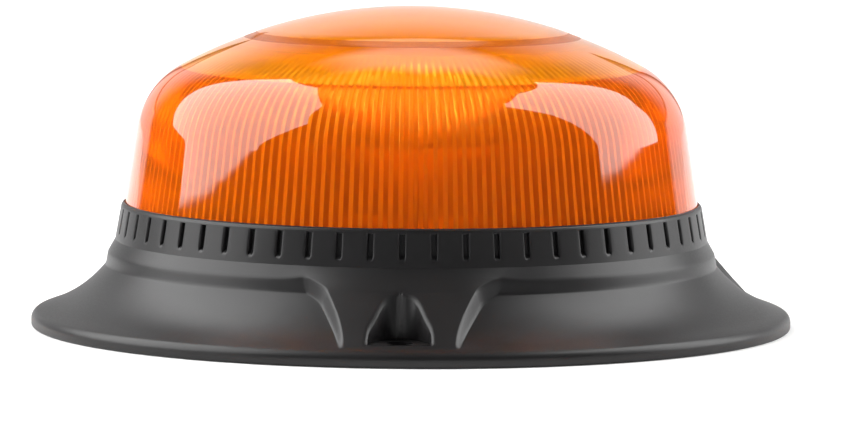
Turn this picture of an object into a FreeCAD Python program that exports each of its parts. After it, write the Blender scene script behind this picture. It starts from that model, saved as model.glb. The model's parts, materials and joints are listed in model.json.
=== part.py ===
"""Low-dome rotating beacon for bolting to a roof or a machine, made from its separate pieces.

A black moulded base carries an amber dome with upright prisms on its inside. Under the dome a
mirror on a geared turntable goes round a fixed ring of LEDs, which stands on a central pillar.
A small DC motor under the chassis plate drives the turntable through one idler.

Millimetres, +Z up. The origin is on the axis of rotation, in the plane the beacon stands on.
The mirror faces -Y, and the first of the three bolt wells is on that side.
"""

import FreeCAD
import Part
import math
import os

# ---- Fits round the axis: each radius is the one before it plus a wall, a step or a gap --------
cup_radius = 57.0            # inside of the cup that holds the works
cup_wall = 2.4
spigot_gap = 0.2             # radial gap round the dome's spigot and foot
seal_ledge_width = 1.8       # ledge inside the collar, under the seal
dome_foot_width = 1.75       # the dome's foot stands this far outside its spigot
collar_lip_wall = 0.5        # thin lip round the dome's foot
collar_flare = 1.25          # the collar widens by this towards its foot
shoulder_width = 1.8         # from the collar's foot to the upright step
flange_width = 15.9          # from the step to the outside
spigot_radius = cup_radius + seal_ledge_width - spigot_gap
dome_foot_radius = spigot_radius + dome_foot_width
collar_top_radius = dome_foot_radius + spigot_gap + collar_lip_wall
shoulder_top_radius = collar_top_radius + collar_flare
step_radius = shoulder_top_radius + shoulder_width
base_radius = step_radius + flange_width

# ---- Base housing: outside -------------------------------------------------------------------
front_deg = -90.0            # direction of the first bolt boss
rim_lift = 0.4               # the soft gasket stands this far below the rim
rim_corner = 1.8             # rounding over the rim's top edge
rim_foot_corner = 0.5
rim_slope_deg = 20.0         # slope of the flange just inside the rim
rim_width = 3.7              # the hollow of the flange ends and the rim's slope begins here
flange_radius = base_radius - rim_width
flange_z = 4.3
step_lean = 0.15
step_foot_z = 13.4
flange_sag = 1.03            # depth of the hollow below the straight line from step to flange edge
shoulder_top_z = 19.0
collar_height = 7.1
collar_top_z = shoulder_top_z + collar_height
collar_corner = 0.4

# ---- Bolt bosses and wells -------------------------------------------------------------------
bolt_count = 3
bolt_edge_distance = 7.0     # from a bolt's axis to the base's outside
bolt_circle_radius = base_radius - bolt_edge_distance
bolt_hole_radius = 2.75
bolt_land = 3.0              # solid foot between a bolt hole and the gasket
boss_half_width = 10.9       # at the top of its sides; they lean outwards to their foot
boss_side_lean = 1.6
boss_corner = 8.0            # sweep of the boss into the shoulder, seen from above
boss_neck_reach = 2.4        # the boss's straight slope begins this far outside the step
boss_neck_radius = step_radius + boss_neck_reach
boss_neck_z = 13.3
boss_neck_sag = 0.62         # depth of the curve from the collar to the straight slope
boss_foot_inset = 2.2        # the boss's slope meets the rim's this far inside the edge
boss_foot_radius = base_radius - boss_foot_inset
boss_root_share = 0.85       # a boss's outline starts this share of the way out to the step
well_offset = 4.0            # the well's centre lies this far outside the bolt's axis
well_centre_radius = bolt_circle_radius + well_offset
well_length = 10.3           # half length, towards the axis
well_half_width = 6.5
well_floor_z = 4.4

# ---- Slots round the collar ------------------------------------------------------------------
slot_count = 60
slot_width = 1.15
slot_depth = 0.75
slot_foot_rise = 1.5         # above the collar's foot
slot_top_drop = 0.9          # below the collar's top
slot_ramp = 0.7              # the slot's foot rises by this much towards its back
slot_foot_z = shoulder_top_z + slot_foot_rise
slot_top_z = collar_top_z - slot_top_drop

# ---- Base housing: inside and underside ------------------------------------------------------
gasket_thickness = 2.0
gasket_gap = 0.2
gasket_bore_step = 1.0       # the gasket's bore is this much larger than the cup, in radius
floor_thickness = 2.6
cell_count = 6               # hollow cells under the flange, between two bosses
cell_span_deg = 84.0
cell_rib_deg = 1.8
cell_roof_drop = 4.4         # from the seal's ledge down to the cells' roof
cell_sag_share = 0.8         # the cells' outer wall hangs less than the flange above it
flange_wall = 2.4
dome_seat_depth = 0.7        # the dome's foot sits this far below the collar's top
dome_seat_z = collar_top_z - dome_seat_depth
seal_ledge_drop = 7.0        # from the dome's seat down to the seal's ledge
seal_ledge_z = dome_seat_z - seal_ledge_drop
cell_roof_z = seal_ledge_z - cell_roof_drop
gasket_radius = bolt_circle_radius - bolt_hole_radius - bolt_land
gasket_bore_radius = cup_radius + gasket_bore_step

# ---- Dome ------------------------------------------------------------------------------------
dome_height = 41.9
dome_top_z = dome_seat_z + dome_height
dome_draft_deg = 8.6
dome_shoulder_radius = 18.0
dome_crown_radius = 102.0
dome_cap_radius = 34.5       # edge of the slightly raised disc on the crown
dome_cap_step = 0.35
dome_wall = 2.2
prism_count = 180
prism_depth = 0.75
prism_end_drop = 14.0        # from the crown down to the prisms' upper ends
prism_top_z = dome_top_z - prism_end_drop
prism_stations = 4           # straight stretches that follow the bend of the dome's shoulder
spigot_wall = 1.7
spigot_ledge = 1.2           # solid ring where the spigot meets the dome's foot
seal_thickness = 1.8
seal_width = 1.5

# ---- Dome fixing, from below -----------------------------------------------------------------
lens_screw_count = 3
lens_screw_inset = 4.0       # from the cup's wall
lens_screw_circle = cup_radius - lens_screw_inset
lens_screw_start_deg = -30.0
ear_radius = 3.4
ear_height = 4.6
ear_web = 2.4                # rib between a post and the cup's wall
lens_screw_radius = 1.75
lens_screw_head_radius = 3.0
lens_screw_head_height = 2.2
lens_screw_bite = 3.6
head_seat_depth = 0.2        # a head sits this far up its counterbore
ear_web_drop = 0.5           # a rib ends this far below the seal's ledge
screw_gap = 0.15             # radial gap round a screw's shank in a clearance hole
head_gap = 0.3               # radial gap round a screw's head in its counterbore

# ---- Screw heads -----------------------------------------------------------------------------
head_round_share = 0.45      # rounding of a pan head, of its height
recess_arm_share = 0.45      # reach of the cross recess, of the head's radius
recess_width_share = 0.22

# ---- Cable grommet ---------------------------------------------------------------------------
cable_hole_radius = 4.5
cable_radius = 3.0
cable_gap = 0.1
grommet_flange_radius = 7.0
grommet_flange_height = 1.0
grommet_taper = 0.8

# ---- Circuit board and what stands on it -----------------------------------------------------
board_standoff = 1.5
board_thickness = 1.6
board_gap = 1.8              # between the board and the tall posts
board_hole_radius = 9.0
board_bridge_width = 5.0     # strip of board across its hole, for the LED leads
board_post_count = 3
board_post_circle = 22.0
board_post_radius = 2.6
board_post_start_deg = -60.0
board_screw_radius = 1.1
board_screw_head_radius = 2.0
board_screw_head_height = 1.3
solder_tail = 0.4            # a pin's or a lead's end below the board
capacitor_radius = 4.0
capacitor_height = 9.0
capacitor_groove = 0.3
capacitor_groove_z = 1.2
capacitor_circle = 30.0
capacitor_direction_deg = -90.0
choke_radius = 4.5
choke_height = 5.0
choke_flange = 1.2
choke_waist_radius = 3.5
choke_circle = 31.0
choke_direction_deg = -125.0
terminal_size = (10.5, 8.0, 8.5)
terminal_mouth = 3.0
terminal_mouth_depth = 5.0
terminal_well_radius = 1.7
terminal_well_depth = 2.2
terminal_at = (20.0, -14.0)
chip_size = (5.0, 4.0, 1.5)
chip_places = ((-20.0, -10.0), (24.0, 10.0))

# ---- Motor -----------------------------------------------------------------------------------
motor_radius = 10.0
motor_height = 11.5
motor_cap_height = 1.5
motor_board_gap = 0.2
motor_can_corner = 0.4
motor_cap_inset = 0.6
motor_nose_radius = 3.0
motor_nose_rise = 0.4        # above the plate
motor_shaft_radius = 1.0
motor_shaft_end_gap = 0.5    # from the cap up to the shaft's lower end
motor_shaft_rise = 0.6       # above the idler's wheel
motor_screw_offset = 6.5
motor_screw_radius = 0.95
motor_screw_head_radius = 1.8
motor_screw_head_height = 0.9
motor_screw_bite = 2.5
motor_pin_offset = 5.0
motor_pin_half_pitch = 2.5
motor_pin_radius = 0.5

# ---- Chassis plate and its posts -------------------------------------------------------------
plate_thickness = 1.5
plate_hole_radius = 4.0
plate_window_radius = 6.0
plate_window_circle = 29.0
plate_window_directions = (-150.0, -30.0)
nose_gap = 0.1               # radial gap round the motor's nose
ear_gap = 1.0                # radial gap round the dome's ears and their posts
plate_radius = lens_screw_circle - ear_radius - ear_gap
post_count = 3
post_inset = 3.6             # from the plate's edge to a post's axis
post_circle = plate_radius - post_inset
post_radius = 3.2
post_web_drop = 1.0          # a rib ends this far below the plate
board_radius = post_circle - post_radius - board_gap
post_start_deg = 30.0
post_screw_radius = 1.4
post_screw_head_radius = 2.6
post_screw_head_height = 1.6
post_screw_bite = 7.0

# ---- Gears -----------------------------------------------------------------------------------
gear_module = 0.6
pressure_angle_deg = 25.0
ring_teeth = 84
small_teeth = 12             # both pinions
idler_teeth = 40
tooth_backlash = 0.09        # taken off each tooth's thickness, along the pitch circle
mesh_slack = 0.04            # added to each centre distance
plate_gear_gap = 1.1
idler_width = 2.6
idler_boss_radius = 3.0      # the idler runs on this boss, below its wheel
idler_boss_gap = 0.3
idler_window_count = 6
idler_window_radius = 2.2
idler_window_circle = 7.6
ring_gear_gap = 0.6          # between the idler's wheel and the ring gear above it
ring_gear_width = 3.0
ring_gear_depth = 3.5        # from the pitch circle to the ring's inside
pinion_end_gap = 0.4
pinion_overhang = 0.2        # the motor's pinion is this much wider on each side than the wheel
idler_pin_radius = 1.25
idler_pin_rise = 0.2         # above the idler
running_gap = 0.04           # radial gap of a shaft that turns in a bore
idler_direction_deg = 90.0
motor_direction_deg = 160.0  # from the idler's pin to the motor's shaft

# ---- Pillar and turntable --------------------------------------------------------------------
pillar_flange_radius = 12.5
pillar_flange_height = 1.5
pillar_shoulder_radius = 7.2
pillar_radius = 5.5
pillar_tip_radius = 3.4
pillar_bore_radius = 2.1
pillar_screw_count = 3
pillar_screw_circle = 9.9
pillar_screw_start_deg = -30.0
pillar_screw_radius = 1.2
pillar_screw_head_radius = 2.1
pillar_screw_head_height = 1.4
washer_thickness = 0.5
washer_radius = 8.2
washer_gap = 0.1
end_gap = 0.1                # play along the axis at each end of the turntable's bush
disc_radius = 36.5
disc_thickness = 2.2
disc_groove = 0.5
hub_radius = 9.6
hub_rise = 1.0               # hub above the disc
hub_drop = 0.3               # hub below the ring gear
turntable_rib = 1.4
turntable_rib_count = 6
turntable_rib_start_deg = 15.0
turntable_rib_root = 0.25    # a rib runs this far into the hub and into the ring gear
bush_wall = 1.7
clip_thickness = 0.8
clip_depth = 0.35
clip_width = 1.5
clip_opening_deg = 50.0

# ---- Mirror and its lid ----------------------------------------------------------------------
mirror_focus = 11.0          # from the axis to the back of the parabola
mirror_height = 10.4
mirror_wall = 1.4
mirror_foot_height = 1.2
mirror_posts = ((16.5, 23.5), (30.0, -2.0))   # one side; the other is its mirror image
mirror_post_radius = 2.5
mirror_screw_radius = 0.9
mirror_screw_head_radius = 1.9
mirror_screw_head_height = 1.1
mirror_screw_length = 4.2
mirror_rim_gap = 0.3         # the mirror stays this far inside the discs' edge
mirror_stations = 13         # points that the parabola is drawn through
lid_screw_bite = 2.6
lid_height = 2.5
lid_web = 1.3
lid_rim_wall = 1.6
lid_edge_corner = 0.4
lid_ring_radius = 12.0       # stiffening ring on top of the lid
lid_ring_wall = 1.2

# ---- LED tower -------------------------------------------------------------------------------
led_count = 6
core_flat_radius = 5.2       # from the axis to each flat
core_gap = 0.5               # above the clip and below the lid
led_size = 3.2
led_package_height = 0.7
led_lens_radius = 1.2
led_cap_radius = 4.4
led_cap_height = 0.9
led_cap_spigot = 1.0         # depth to which the cap enters the pillar's bore
lead_radius = 0.65
lead_offset = 0.95

# ---- Levels that follow from the sizes above ---------------------------------------------------
underside_z = gasket_thickness
floor_z = underside_z + floor_thickness
board_z = floor_z + board_standoff
board_top_z = board_z + board_thickness
motor_z = board_top_z + motor_board_gap
plate_z = motor_z + motor_height
plate_top_z = plate_z + plate_thickness
idler_z = plate_top_z + plate_gear_gap
idler_top_z = idler_z + idler_width
ring_gear_z = idler_top_z + ring_gear_gap
disc_z = ring_gear_z + ring_gear_width
disc_top_z = disc_z + disc_thickness
mirror_top_z = disc_top_z + mirror_height
lid_top_z = mirror_top_z + lid_height
pinion_top_z = disc_z - pinion_end_gap
bush_z = ring_gear_z - hub_drop
bush_top_z = disc_top_z + hub_rise
washer_z = bush_z - end_gap - washer_thickness
clip_z = bush_top_z + end_gap
core_z = clip_z + clip_thickness + core_gap
core_top_z = mirror_top_z - core_gap - led_cap_height
seal_top_z = seal_ledge_z + seal_thickness
spigot_z = seal_top_z

ring_pitch_radius = gear_module * ring_teeth / 2
small_pitch_radius = gear_module * small_teeth / 2
idler_pitch_radius = gear_module * idler_teeth / 2


def polar(radius, angle_deg, z=0.0):
    """A point given by its distance from the axis and its direction."""
    angle = math.radians(angle_deg)
    return FreeCAD.Vector(radius * math.cos(angle), radius * math.sin(angle), z)


idler_axis = polar(ring_pitch_radius + small_pitch_radius + mesh_slack, idler_direction_deg)
motor_axis = idler_axis + polar(idler_pitch_radius + small_pitch_radius + mesh_slack, motor_direction_deg)


# ---- Shared shapes -----------------------------------------------------------------------------
def rod(radius, low, high, at=FreeCAD.Vector()):
    """Upright cylinder between two levels."""
    return Part.makeCylinder(radius, high - low, FreeCAD.Vector(at.x, at.y, low))


def tube(outer, inner, low, high, at=FreeCAD.Vector()):
    """Upright ring between two levels."""
    return rod(outer, low, high, at).cut(rod(inner, low - 1, high + 1, at))


def path(start, steps):
    """Closed wire in the XZ plane. A step is one (r, z) point, or two for an arc: middle, end."""
    edges = []
    here = FreeCAD.Vector(start[0], 0, start[1])
    first = here
    for step in steps:
        if isinstance(step[0], tuple):
            middle, end = (FreeCAD.Vector(r, 0, z) for r, z in step)
            edges.append(Part.Arc(here, middle, end).toShape())
        else:
            end = FreeCAD.Vector(step[0], 0, step[1])
            edges.append(Part.LineSegment(here, end).toShape())
        here = end
    edges.append(Part.LineSegment(here, first).toShape())
    return Part.Wire(edges)


def turned(start, steps, angle_deg=360.0):
    """Solid of revolution about the Z axis from a closed (r, z) outline."""
    face = Part.Face(path(start, steps))
    return face.revolve(FreeCAD.Vector(), FreeCAD.Vector(0, 0, 1), angle_deg)


def spun(shape, angle_deg):
    """A copy turned about the Z axis."""
    copy = shape.copy()
    copy.rotate(FreeCAD.Vector(), FreeCAD.Vector(0, 0, 1), angle_deg)
    return copy


def around(shape, count, start_deg=0.0):
    """Copies of a shape in a ring about the Z axis."""
    return [spun(shape, start_deg + 360.0 * i / count) for i in range(count)]


def arc_point(start, end, sag):
    """Middle of an arc from start to end that hangs by sag to the right of that direction."""
    dr, dz = end[0] - start[0], end[1] - start[1]
    length = math.hypot(dr, dz)
    return ((start[0] + end[0]) / 2 + sag * dz / length, (start[1] + end[1]) / 2 - sag * dr / length)


def screw(shank, head, head_height, length, top):
    """Pan-headed screw that points down, the underside of its head at the level top."""
    body = rod(shank, top - length, top)
    cap = rod(head, top, top + head_height)
    rim = [e for e in cap.Edges if abs(e.BoundBox.ZMin - top - head_height) < 1e-6 and e.Length > head]
    cap = cap.makeFillet(head_height * head_round_share, rim)
    arm, width = head * recess_arm_share, head * recess_width_share
    recess = Part.makeBox(2 * arm, width, head_height, FreeCAD.Vector(-arm, -width / 2, 0))
    cross = recess.fuse(spun(recess, 90))
    cross.translate(FreeCAD.Vector(0, 0, top + head_height / 2))
    return body.fuse(cap).cut(cross)


def moved(shape, at):
    """A copy set down at a point."""
    copy = shape.copy()
    copy.translate(at)
    return copy


def ring_of_points(count, radius, start_deg):
    """Points evenly spaced on a circle about the axis."""
    return [polar(radius, start_deg + 360.0 * i / count) for i in range(count)]


# ---- Gears -------------------------------------------------------------------------------------
def involute_angle(base, radius):
    """Angle by which an involute from the base circle has turned where it reaches a radius."""
    if radius <= base:
        return 0.0
    roll = math.sqrt((radius / base) ** 2 - 1)
    return roll - math.atan(roll)


def gear_blank(teeth, low, high, tooth_angle_deg):
    """Spur gear about the Z axis, with one tooth centred on tooth_angle_deg."""
    pitch = gear_module * teeth / 2
    base = pitch * math.cos(math.radians(pressure_angle_deg))
    tip = pitch + gear_module
    root = pitch - 1.25 * gear_module
    half_tooth = math.pi / (2 * teeth) - tooth_backlash / (2 * pitch)
    at_pitch = involute_angle(base, pitch)

    def half_angle(radius):
        return half_tooth + at_pitch - involute_angle(base, radius)

    start = max(base, root)
    middle = (start + tip) / 2
    edges = []

    def point(radius, angle):
        return FreeCAD.Vector(radius * math.cos(angle), radius * math.sin(angle), low)

    for i in range(teeth):
        centre = math.radians(tooth_angle_deg) + 2 * math.pi * i / teeth
        following = centre + 2 * math.pi / teeth
        rising = [point(r, centre - half_angle(r)) for r in (start, middle, tip)]
        falling = [point(r, centre + half_angle(r)) for r in (tip, middle, start)]
        foot = point(root, centre - half_angle(start))
        foot_after = point(root, centre + half_angle(start))
        next_foot = point(root, following - half_angle(start))
        valley = point(root, centre + math.pi / teeth)
        if start > root:
            edges.append(Part.LineSegment(foot, rising[0]).toShape())
        edges.append(Part.Arc(*rising).toShape())
        edges.append(Part.Arc(rising[2], point(tip, centre), falling[0]).toShape())
        edges.append(Part.Arc(*falling).toShape())
        if start > root:
            edges.append(Part.LineSegment(falling[2], foot_after).toShape())
        edges.append(Part.Arc(foot_after, valley, next_foot).toShape())
    face = Part.Face(Part.Wire(edges))
    return face.extrude(FreeCAD.Vector(0, 0, high - low))


def meshing_angle(tooth_angle, teeth, direction, other_teeth):
    """Tooth angle of a gear that meshes with one of known tooth angle, in degrees."""
    share = (direction - tooth_angle) * teeth / 360.0
    return direction + 180.0 - (0.5 - share) * 360.0 / other_teeth


ring_tooth_angle = 0.0
idler_tooth_angle = meshing_angle(ring_tooth_angle, ring_teeth, idler_direction_deg, small_teeth)
motor_tooth_angle = meshing_angle(idler_tooth_angle, idler_teeth, motor_direction_deg, small_teeth)


# ---- Base housing ------------------------------------------------------------------------------
def rim_slope_z(radius):
    """Level of the rim's slope at a distance from the axis."""
    return flange_z - math.tan(math.radians(rim_slope_deg)) * (radius - flange_radius)


def rim_steps():
    """The rim's slope, its rounded edge, upright wall and foot corner, down to the underside."""
    slope = math.radians(rim_slope_deg)
    half = (slope + math.pi / 2) / 2
    centre_r = base_radius - rim_corner
    tangent_r = centre_r + rim_corner * math.sin(slope)
    tangent_z = rim_slope_z(tangent_r)
    centre_z = tangent_z - rim_corner * math.cos(slope)
    middle = (centre_r + rim_corner * math.sin(half), centre_z + rim_corner * math.cos(half))
    c = rim_foot_corner
    foot = (base_radius - c + c * math.cos(math.pi / 4), rim_lift + c - c * math.sin(math.pi / 4))
    return [
        (tangent_r, tangent_z), (middle, (base_radius, centre_z)), (base_radius, rim_lift + c),
        (foot, (base_radius - c, rim_lift)), (0, rim_lift),
    ]


def base_outside():
    """Solid outside form with the bosses' slope all the way round."""
    shoulder = (shoulder_top_radius, shoulder_top_z)
    neck = (boss_neck_radius, boss_neck_z)
    c = collar_corner
    edge = c * (1 - math.sqrt(0.5))
    corner = (collar_top_radius - edge, collar_top_z - edge)
    steps = [
        (collar_top_radius - c, collar_top_z),
        (corner, (collar_top_radius, collar_top_z - c)),
        shoulder,
        (arc_point(shoulder, neck, boss_neck_sag), neck),
        (boss_foot_radius, rim_slope_z(boss_foot_radius)),
    ]
    return turned((0, collar_top_z), steps + rim_steps())


def boss_plan(half_width, z):
    """Outline of a bolt boss from above, along +X, swept into the shoulder's circle."""
    c, far, near = boss_corner, base_radius + boss_corner, boss_root_share
    centre = FreeCAD.Vector(math.sqrt((step_radius + c) ** 2 - (half_width + c) ** 2), half_width + c)
    on_circle = centre * (step_radius / (step_radius + c))
    on_side = FreeCAD.Vector(centre.x, half_width)
    middle = centre + ((on_circle - centre) + (on_side - centre)).normalize() * c

    def lower(p):
        return FreeCAD.Vector(p.x, -p.y, z)

    def upper(p):
        return FreeCAD.Vector(p.x, p.y, z)

    corner = FreeCAD.Vector(far, half_width)
    return Part.Wire([
        Part.LineSegment(lower(on_circle * near), lower(on_circle)).toShape(),
        Part.Arc(lower(on_circle), lower(middle), lower(on_side)).toShape(),
        Part.LineSegment(lower(on_side), lower(corner)).toShape(),
        Part.LineSegment(lower(corner), upper(corner)).toShape(),
        Part.LineSegment(upper(corner), upper(on_side)).toShape(),
        Part.Arc(upper(on_side), upper(middle), upper(on_circle)).toShape(),
        Part.LineSegment(upper(on_circle), upper(on_circle * near)).toShape(),
        Part.LineSegment(upper(on_circle * near), lower(on_circle * near)).toShape(),
    ])


def flange_hollow():
    """Everything above the three hollow flange panels, with the bosses left standing."""
    step_foot = (step_radius + step_lean, step_foot_z)
    flange = (flange_radius, flange_z)
    high, far = collar_top_z, base_radius + 3
    foot = (boss_foot_radius, rim_slope_z(boss_foot_radius))
    middle = arc_point(step_foot, flange, flange_sag)
    steps = [step_foot, (middle, flange), foot, (far, flange_z + 1), (far, high)]
    hollow = turned((step_radius - step_lean, high), steps)
    plans = [boss_plan(boss_half_width + boss_side_lean, 0.0), boss_plan(boss_half_width, high + 1)]
    post = Part.makeLoft(plans, True, True)
    return hollow.cut(Part.makeCompound(around(post, bolt_count, front_deg)))


def bolt_well():
    """Space above a bolt along +X: an oval well that runs out through the slope."""
    oval = Part.Ellipse(FreeCAD.Vector(well_centre_radius, 0, well_floor_z), well_length, well_half_width)
    face = Part.Face(Part.Wire(oval.toShape()))
    well = face.extrude(FreeCAD.Vector(0, 0, collar_top_z - well_floor_z))
    hole = rod(bolt_hole_radius, 0, collar_top_z, FreeCAD.Vector(bolt_circle_radius, 0, 0))
    return well.fuse(hole)


def collar_slot():
    """One upright slot in the collar, along +X, with a ramp at its foot."""
    far = base_radius
    lean = (shoulder_top_radius - collar_top_radius) / (collar_top_z - shoulder_top_z)

    def back(z):
        return shoulder_top_radius - lean * (z - shoulder_top_z) - slot_depth

    outline = [
        (back(slot_foot_z + slot_ramp), slot_foot_z + slot_ramp),
        (back(slot_top_z), slot_top_z),
        (far, slot_top_z),
        (far, slot_foot_z),
        (back(slot_foot_z) + slot_depth, slot_foot_z),
    ]
    face = Part.Face(path(outline[0], outline[1:]))
    face.translate(FreeCAD.Vector(0, -slot_width / 2, 0))
    return face.extrude(FreeCAD.Vector(0, slot_width, 0))


def flange_cell():
    """One hollow cell under a flange panel, with its first side on the XZ plane."""
    step_foot = (step_radius + step_lean, step_foot_z)
    flange = (flange_radius, flange_z)
    dr, dz = flange[0] - step_foot[0], flange[1] - step_foot[1]
    length = math.hypot(dr, dz)
    inset = (flange_wall * dz / length, -flange_wall * dr / length)
    top = (step_foot[0] + inset[0], step_foot[1] + inset[1])
    bottom = (flange[0] + inset[0], underside_z)
    inner = cup_radius + cup_wall
    middle = arc_point(top, bottom, flange_sag * cell_sag_share)
    steps = [(inner, cell_roof_z), (top[0], cell_roof_z), top, (middle, bottom), (bottom[0], 0)]
    return turned((inner, 0), steps, cell_span_deg / cell_count - cell_rib_deg)


def lens_ear_points():
    """The dome's three screws."""
    return ring_of_points(lens_screw_count, lens_screw_circle, lens_screw_start_deg)


def tall_post_points():
    """The base's posts that carry the chassis plate."""
    return ring_of_points(post_count, post_circle, post_start_deg)


def board_post_points():
    """The short posts under the circuit board."""
    return ring_of_points(board_post_count, board_post_circle, board_post_start_deg)


def pillar_screw_points():
    """The screws in the pillar's flange."""
    return ring_of_points(pillar_screw_count, pillar_screw_circle, pillar_screw_start_deg)


def webs(circle, top, count, start_deg):
    """Upright ribs from a ring of posts out to the cup's wall."""
    length = cup_radius + cup_wall / 2 - circle
    web = Part.makeBox(length, ear_web, top - floor_z, FreeCAD.Vector(circle, -ear_web / 2, floor_z))
    return around(web, count, start_deg)


def base_inside():
    """The cup for the works, the seal's ledge and the dome's seat."""
    lip = dome_foot_radius + spigot_gap
    bore = spigot_radius + spigot_gap
    high = collar_top_z + 1
    return turned(
        (0, floor_z),
        [(cup_radius, floor_z), (cup_radius, seal_ledge_z), (bore, seal_ledge_z), (bore, dome_seat_z),
         (lip, dome_seat_z), (lip, high), (0, high)],
    )


def flange_cells():
    """All the hollow cells under the flange: a row of them between each two bosses."""
    cells = []
    for b in range(bolt_count):
        boss_span = 360.0 / bolt_count
        first = front_deg + boss_span * b + (boss_span - cell_span_deg) / 2 + cell_rib_deg / 2
        cells += [spun(flange_cell(), first + cell_span_deg / cell_count * i) for i in range(cell_count)]
    return cells


def base_posts():
    """Posts and ribs inside the cup for the plate, the dome's ears and the board."""
    posts = [rod(post_radius, floor_z, plate_z, p) for p in tall_post_points()]
    posts += [rod(ear_radius, floor_z, spigot_z, p) for p in lens_ear_points()]
    posts += [rod(board_post_radius, floor_z, board_z, p) for p in board_post_points()]
    posts += webs(lens_screw_circle, seal_ledge_z - ear_web_drop, lens_screw_count, lens_screw_start_deg)
    posts += webs(post_circle, plate_z - post_web_drop, post_count, post_start_deg)
    return posts


def base_screw_holes():
    """Pilot holes in the posts, and the stepped holes for the dome's screws and the cable."""
    low, high = plate_z - post_screw_bite - 1, plate_z + 1
    holes = [rod(post_screw_radius, low, high, p) for p in tall_post_points()]
    holes += [rod(board_screw_radius, floor_z, board_z + 1, p) for p in board_post_points()]
    head_top = underside_z + lens_screw_head_height + head_seat_depth
    for p in lens_ear_points():
        holes.append(rod(lens_screw_radius + screw_gap, 0, spigot_z + 1, p))
        holes.append(rod(lens_screw_head_radius + head_gap, 0, head_top, p))
    return holes + [rod(cable_hole_radius, 0, floor_z + 1)]


def base_housing():
    """Moulded base: flange, collar, bolt bosses, cup for the works, posts and ribbed underside."""
    body = base_outside().cut(flange_hollow())
    body = body.cut(Part.makeCompound(around(bolt_well(), bolt_count, front_deg)))
    body = body.cut(Part.makeCompound(around(collar_slot(), slot_count, front_deg)))
    body = body.cut(base_inside())
    body = body.cut(rod(gasket_radius + gasket_gap, 0, underside_z))
    body = body.cut(Part.makeCompound(flange_cells()))
    for post in base_posts():
        body = body.fuse(post)
    return body.cut(Part.makeCompound(base_screw_holes()))


def base_gasket():
    """Flat rubber gasket under the base, inside the ring of bolts."""
    return tube(gasket_radius, gasket_bore_radius, 0, underside_z)


def cable_grommet():
    """Rubber grommet in the floor, flanged on both sides, for the supply cable."""
    bore = cable_radius + cable_gap
    low = underside_z - grommet_flange_height
    high = floor_z + grommet_flange_height
    steps = [
        (grommet_flange_radius, low), (grommet_flange_radius, underside_z),
        (cable_hole_radius, underside_z),
        (cable_hole_radius, floor_z), (grommet_flange_radius, floor_z),
        (grommet_flange_radius - grommet_taper, high), (bore, high),
    ]
    return turned((bore, low), steps)


# ---- Dome --------------------------------------------------------------------------------------
def shoulder_centre(crown):
    """Centre of the arc that joins the drafted wall to a crown of that radius."""
    draft = math.radians(dome_draft_deg)
    crown_z = dome_top_z - dome_crown_radius
    a = dome_foot_radius - dome_shoulder_radius / math.cos(draft)
    t = math.tan(draft)
    s = dome_seat_z - crown_z
    q = crown - dome_shoulder_radius
    b = s - a * t
    k = 1 + t * t
    u = (-b + math.sqrt(b * b - k * (a * a + s * s - q * q))) / k
    return a - t * u, dome_seat_z + u


def dome_points(inset):
    """Foot, wall end, shoulder middle, shoulder end and crown top of the dome's skin, set in by inset."""
    draft = math.radians(dome_draft_deg)
    crown = dome_crown_radius - dome_cap_step
    crown_z = dome_top_z - dome_crown_radius
    cr, cz = shoulder_centre(crown)
    rho = dome_shoulder_radius - inset
    to_crown = math.atan2(cz - crown_z, cr)
    half = (draft + to_crown) / 2
    foot = (dome_foot_radius - inset / math.cos(draft), dome_seat_z)
    wall_end = (cr + rho * math.cos(draft), cz + rho * math.sin(draft))
    middle = (cr + rho * math.cos(half), cz + rho * math.sin(half))
    end = (cr + rho * math.cos(to_crown), cz + rho * math.sin(to_crown))
    return foot, wall_end, middle, end, (0.0, crown_z + crown - inset)


def skin_radius(z, inset):
    """Radius of the dome's skin at a level on the wall or the shoulder, set in by inset."""
    draft = math.radians(dome_draft_deg)
    cr, cz = shoulder_centre(dome_crown_radius - dome_cap_step)
    rho = dome_shoulder_radius - inset
    if z <= cz + rho * math.sin(draft):
        return dome_foot_radius - inset / math.cos(draft) - math.tan(draft) * (z - dome_seat_z)
    return cr + math.sqrt(rho * rho - (z - cz) ** 2)


def crown_arc(inset, radius_from, radius_to, crown):
    """Middle and end of an arc on the crown between two distances from the axis."""
    crown_z = dome_top_z - dome_crown_radius
    rho = crown - inset

    def at(radius):
        return (radius, crown_z + math.sqrt(rho * rho - radius * radius))

    return at((radius_from + radius_to) / 2), at(radius_to)


def dome_outside():
    """Solid form of the dome's outside, down to its seat, with the raised disc on the crown."""
    crown = dome_crown_radius - dome_cap_step
    foot, wall_end, middle, end, _ = dome_points(0.0)
    to_cap = crown_arc(0.0, end[0], dome_cap_radius, crown)
    cap_edge = crown_arc(0.0, 0.0, dome_cap_radius, dome_crown_radius)[1]
    cap_middle = crown_arc(0.0, 0.0, dome_cap_radius, dome_crown_radius)[0]
    steps = [foot, wall_end, (middle, end), to_cap, cap_edge, (cap_middle, (0.0, dome_top_z))]
    return turned((0, dome_seat_z), steps)


def prism_ring(z):
    """Star-shaped wire at a level: the prisms' crests point inwards."""
    valley = skin_radius(z, dome_wall)
    crest = skin_radius(z, dome_wall + prism_depth)
    points = []
    for i in range(prism_count):
        pitch = 360.0 / prism_count
        points.append(polar(valley, pitch * i, z))
        points.append(polar(crest, pitch * (i + 0.5), z))
    return Part.makePolygon(points + [points[0]])


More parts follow.
